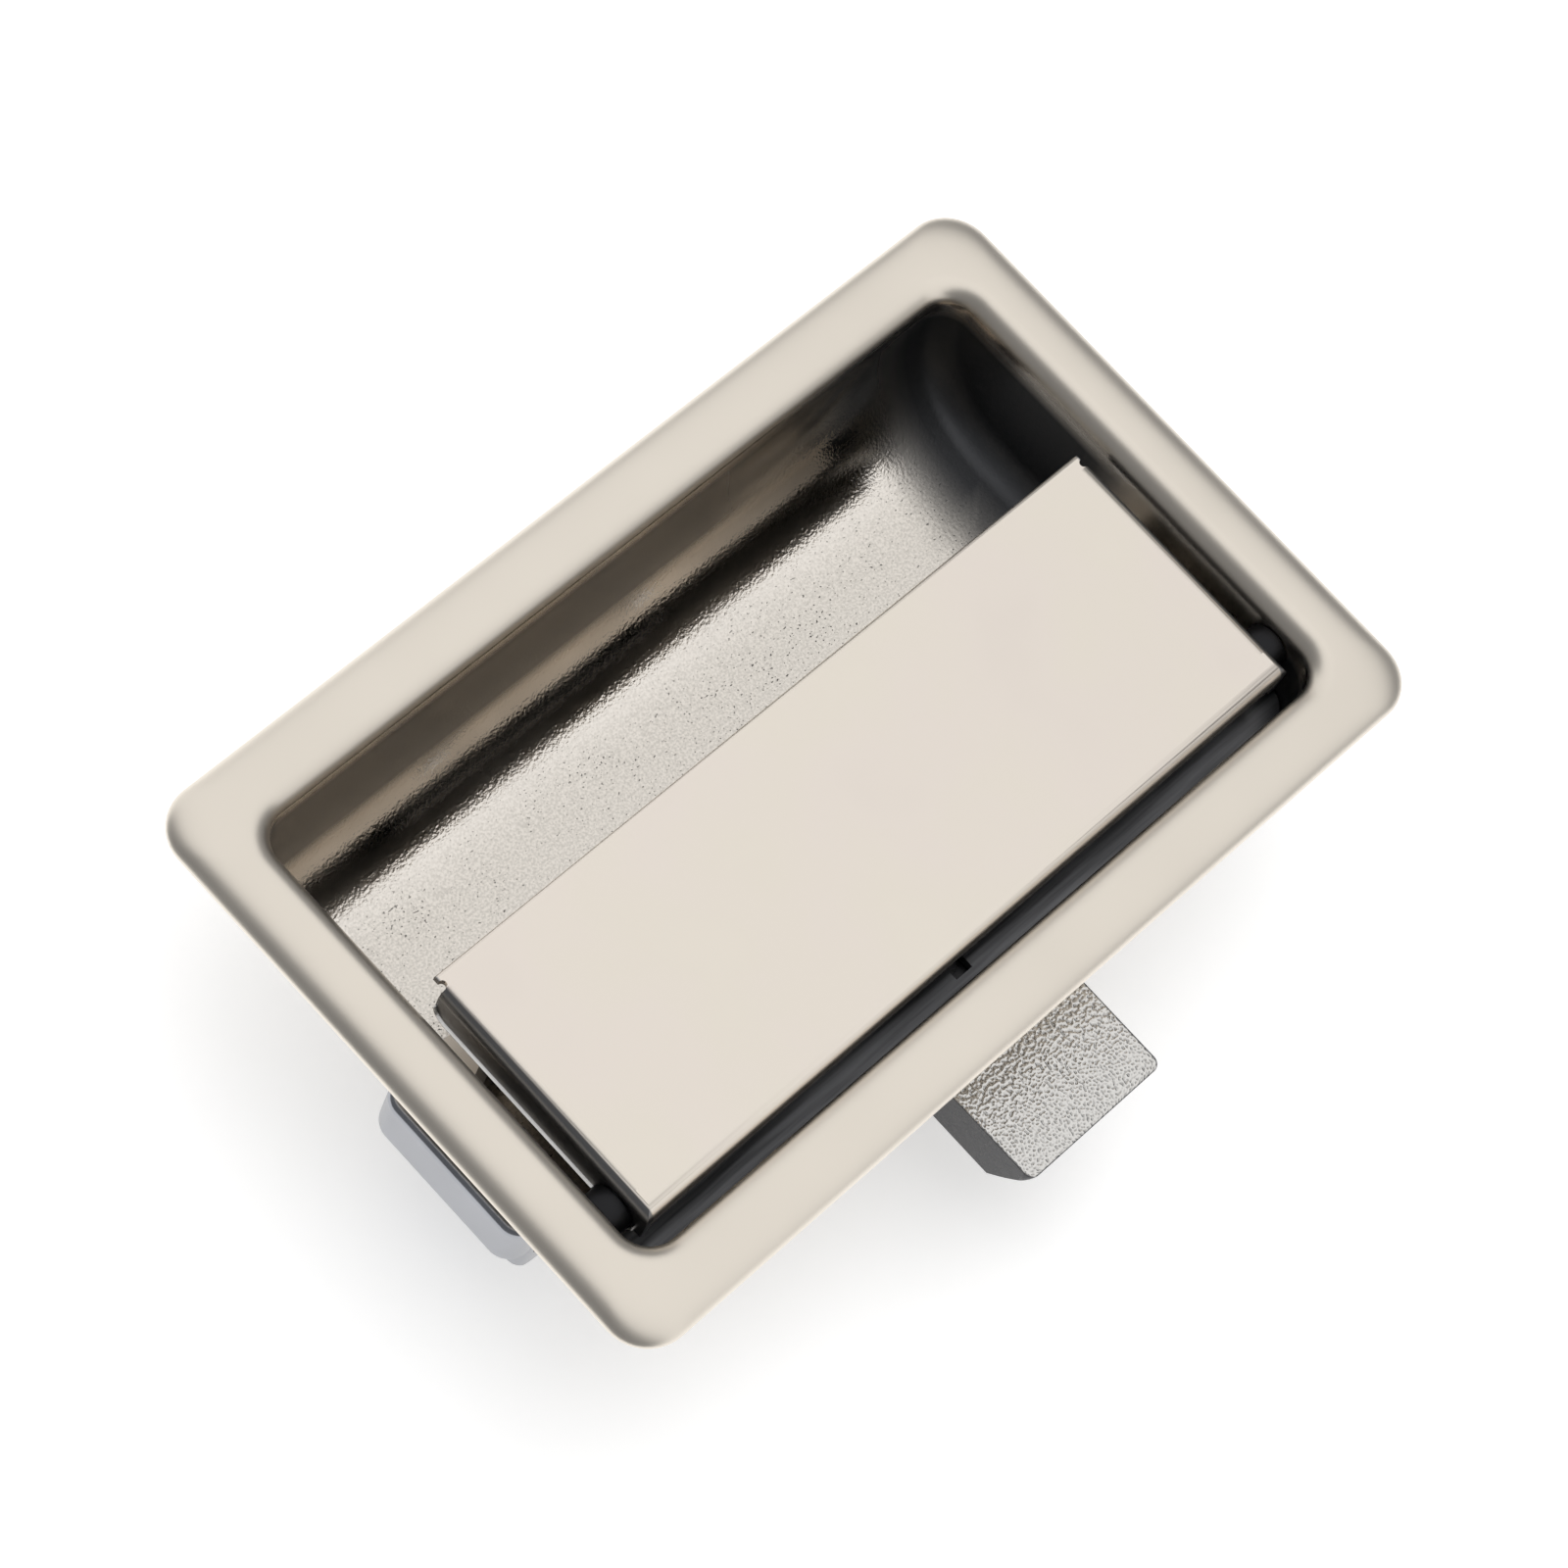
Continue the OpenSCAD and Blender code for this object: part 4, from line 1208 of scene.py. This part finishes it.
@dataclass
class Studio:
    """A white floor in even light, with grey cards beyond both ends that shape the metal's reflections."""

    floor_half: float = 3000.0
    floor_drop: float = 0.05
    floor_shade: Colour = (0.86, 0.86, 0.86, 1)
    floor_rough: float = 0.9
    floor_glow: float = 0.35
    left_card: tuple[Span, Span] = ((-1000, -25), (-400, 1100))
    right_card: tuple[Span, Span] = ((1000, -25), (1000, 800))
    card_half: float = 2200.0
    card_colour: Colour = (0.95, 0.97, 1, 1)
    card_level: float = 0.22
    fill: float = 0.75
    lamp_power: float = 3.0
    lamp_size: Span = (700, 900)
    lamp_place: Triple = (150, 100, 900)

    def plane(self, name: str, corners: Array, material: Material) -> Piece:
        """Makes a flat sheet of the studio.

        Args:
            name: Its name.
            corners: Two by two corner points in millimetres.
            material: Its material.

        Returns:
            The sheet.
        """
        work = Patchwork()
        work.add(corners)
        sheet = work.build(name)
        dress(sheet, material)
        return sheet

    def floor(self) -> None:
        """Lays the floor under the part's lowest point.

        It is lit, so that it keeps the shadow, and a little light of its own on the rays that show it
        brings it up to the white of the background.
        """
        shader = Shader("white_floor", 0.0)
        shader.plain({
            "Base Color": self.floor_shade,
            "Roughness": self.floor_rough,
            "Specular IOR Level": 0.0,
            "Emission Color": (1, 1, 1, 1),
        })
        shader.feed("Emission Strength", shader.math("MULTIPLY", shader.seen(), self.floor_glow))
        h = self.floor_half
        z = CAD_BOX[0].z / MM - self.floor_drop
        self.plane("floor", points(*np.meshgrid((-h, h), (-h, h)), z), shader.material)

    def cards(self) -> None:
        """Hangs a grey card beyond each end of the part. Only reflections see them."""
        shader = Shader("grey_card", 0.0)
        shader.plain({
            "Base Color": (0, 0, 0, 1),
            "Specular IOR Level": 0.0,
            "Emission Color": self.card_colour,
            "Emission Strength": self.card_level,
        })
        for name, ends in (("card_left", self.left_card), ("card_right", self.right_card)):
            rows = [[[x, -self.card_half, z], [x, self.card_half, z]] for x, z in ends]
            card = self.plane(name, np.array(rows), shader.material)
            card.visible_camera = False
            card.visible_diffuse = False
            card.visible_shadow = False

    def world(self) -> None:
        """Sets a white background that reflections see too, and a softer light from all round."""
        world = bpy.data.worlds.new("studio")
        world.use_nodes = True
        nodes = Nodes(world.node_tree)
        background = nodes.tree.nodes["Background"]
        background.inputs["Color"].default_value = (1, 1, 1, 1)
        level = nodes.node("ShaderNodeMapRange", {"Value": nodes.seen(), "To Min": self.fill})
        nodes.tree.links.new(level.outputs["Result"], background.inputs["Strength"])
        bpy.context.scene.world = world

    def lamp(self) -> None:
        """Hangs a large soft lamp above the part."""
        data = bpy.data.lights.new("softbox", "AREA")
        data.shape = "RECTANGLE"
        data.size, data.size_y = (side * MM for side in self.lamp_size)
        data.energy = self.lamp_power
        lamp = bpy.data.objects.new("softbox", data)
        lamp.location = Vector(self.lamp_place) * MM
        lamp.rotation_euler = (-Vector(self.lamp_place)).to_track_quat("-Z", "Y").to_euler()
        lamp.visible_glossy = False
        bpy.context.scene.collection.objects.link(lamp)

    def build(self) -> None:
        """Sets up the studio."""
        self.floor()
        self.cards()
        self.world()
        self.lamp()
        bpy.context.scene.view_settings.view_transform = "Standard"


def main() -> None:
    """Builds the camera, the studio and every piece."""
    logging.basicConfig(level=logging.INFO, format="%(name)s: %(message)s")
    PhotoCamera().build()
    finishes = Finishes()
    seat(PanSkin().build(), Body.HOUSING, Slot.PAN, finishes.by_slot[Slot.PAN], "recess_pan")
    seat(BoltGrain().build(), Body.BOLT, Slot.BOLT, finishes.grain)
    Springs().build(finishes)
    ThreadedStuds().build(finishes)
    CheekLips().build(finishes)
    PlainPieces().dress(finishes)
    Studio().build()


if __name__ == "__main__":
    main()
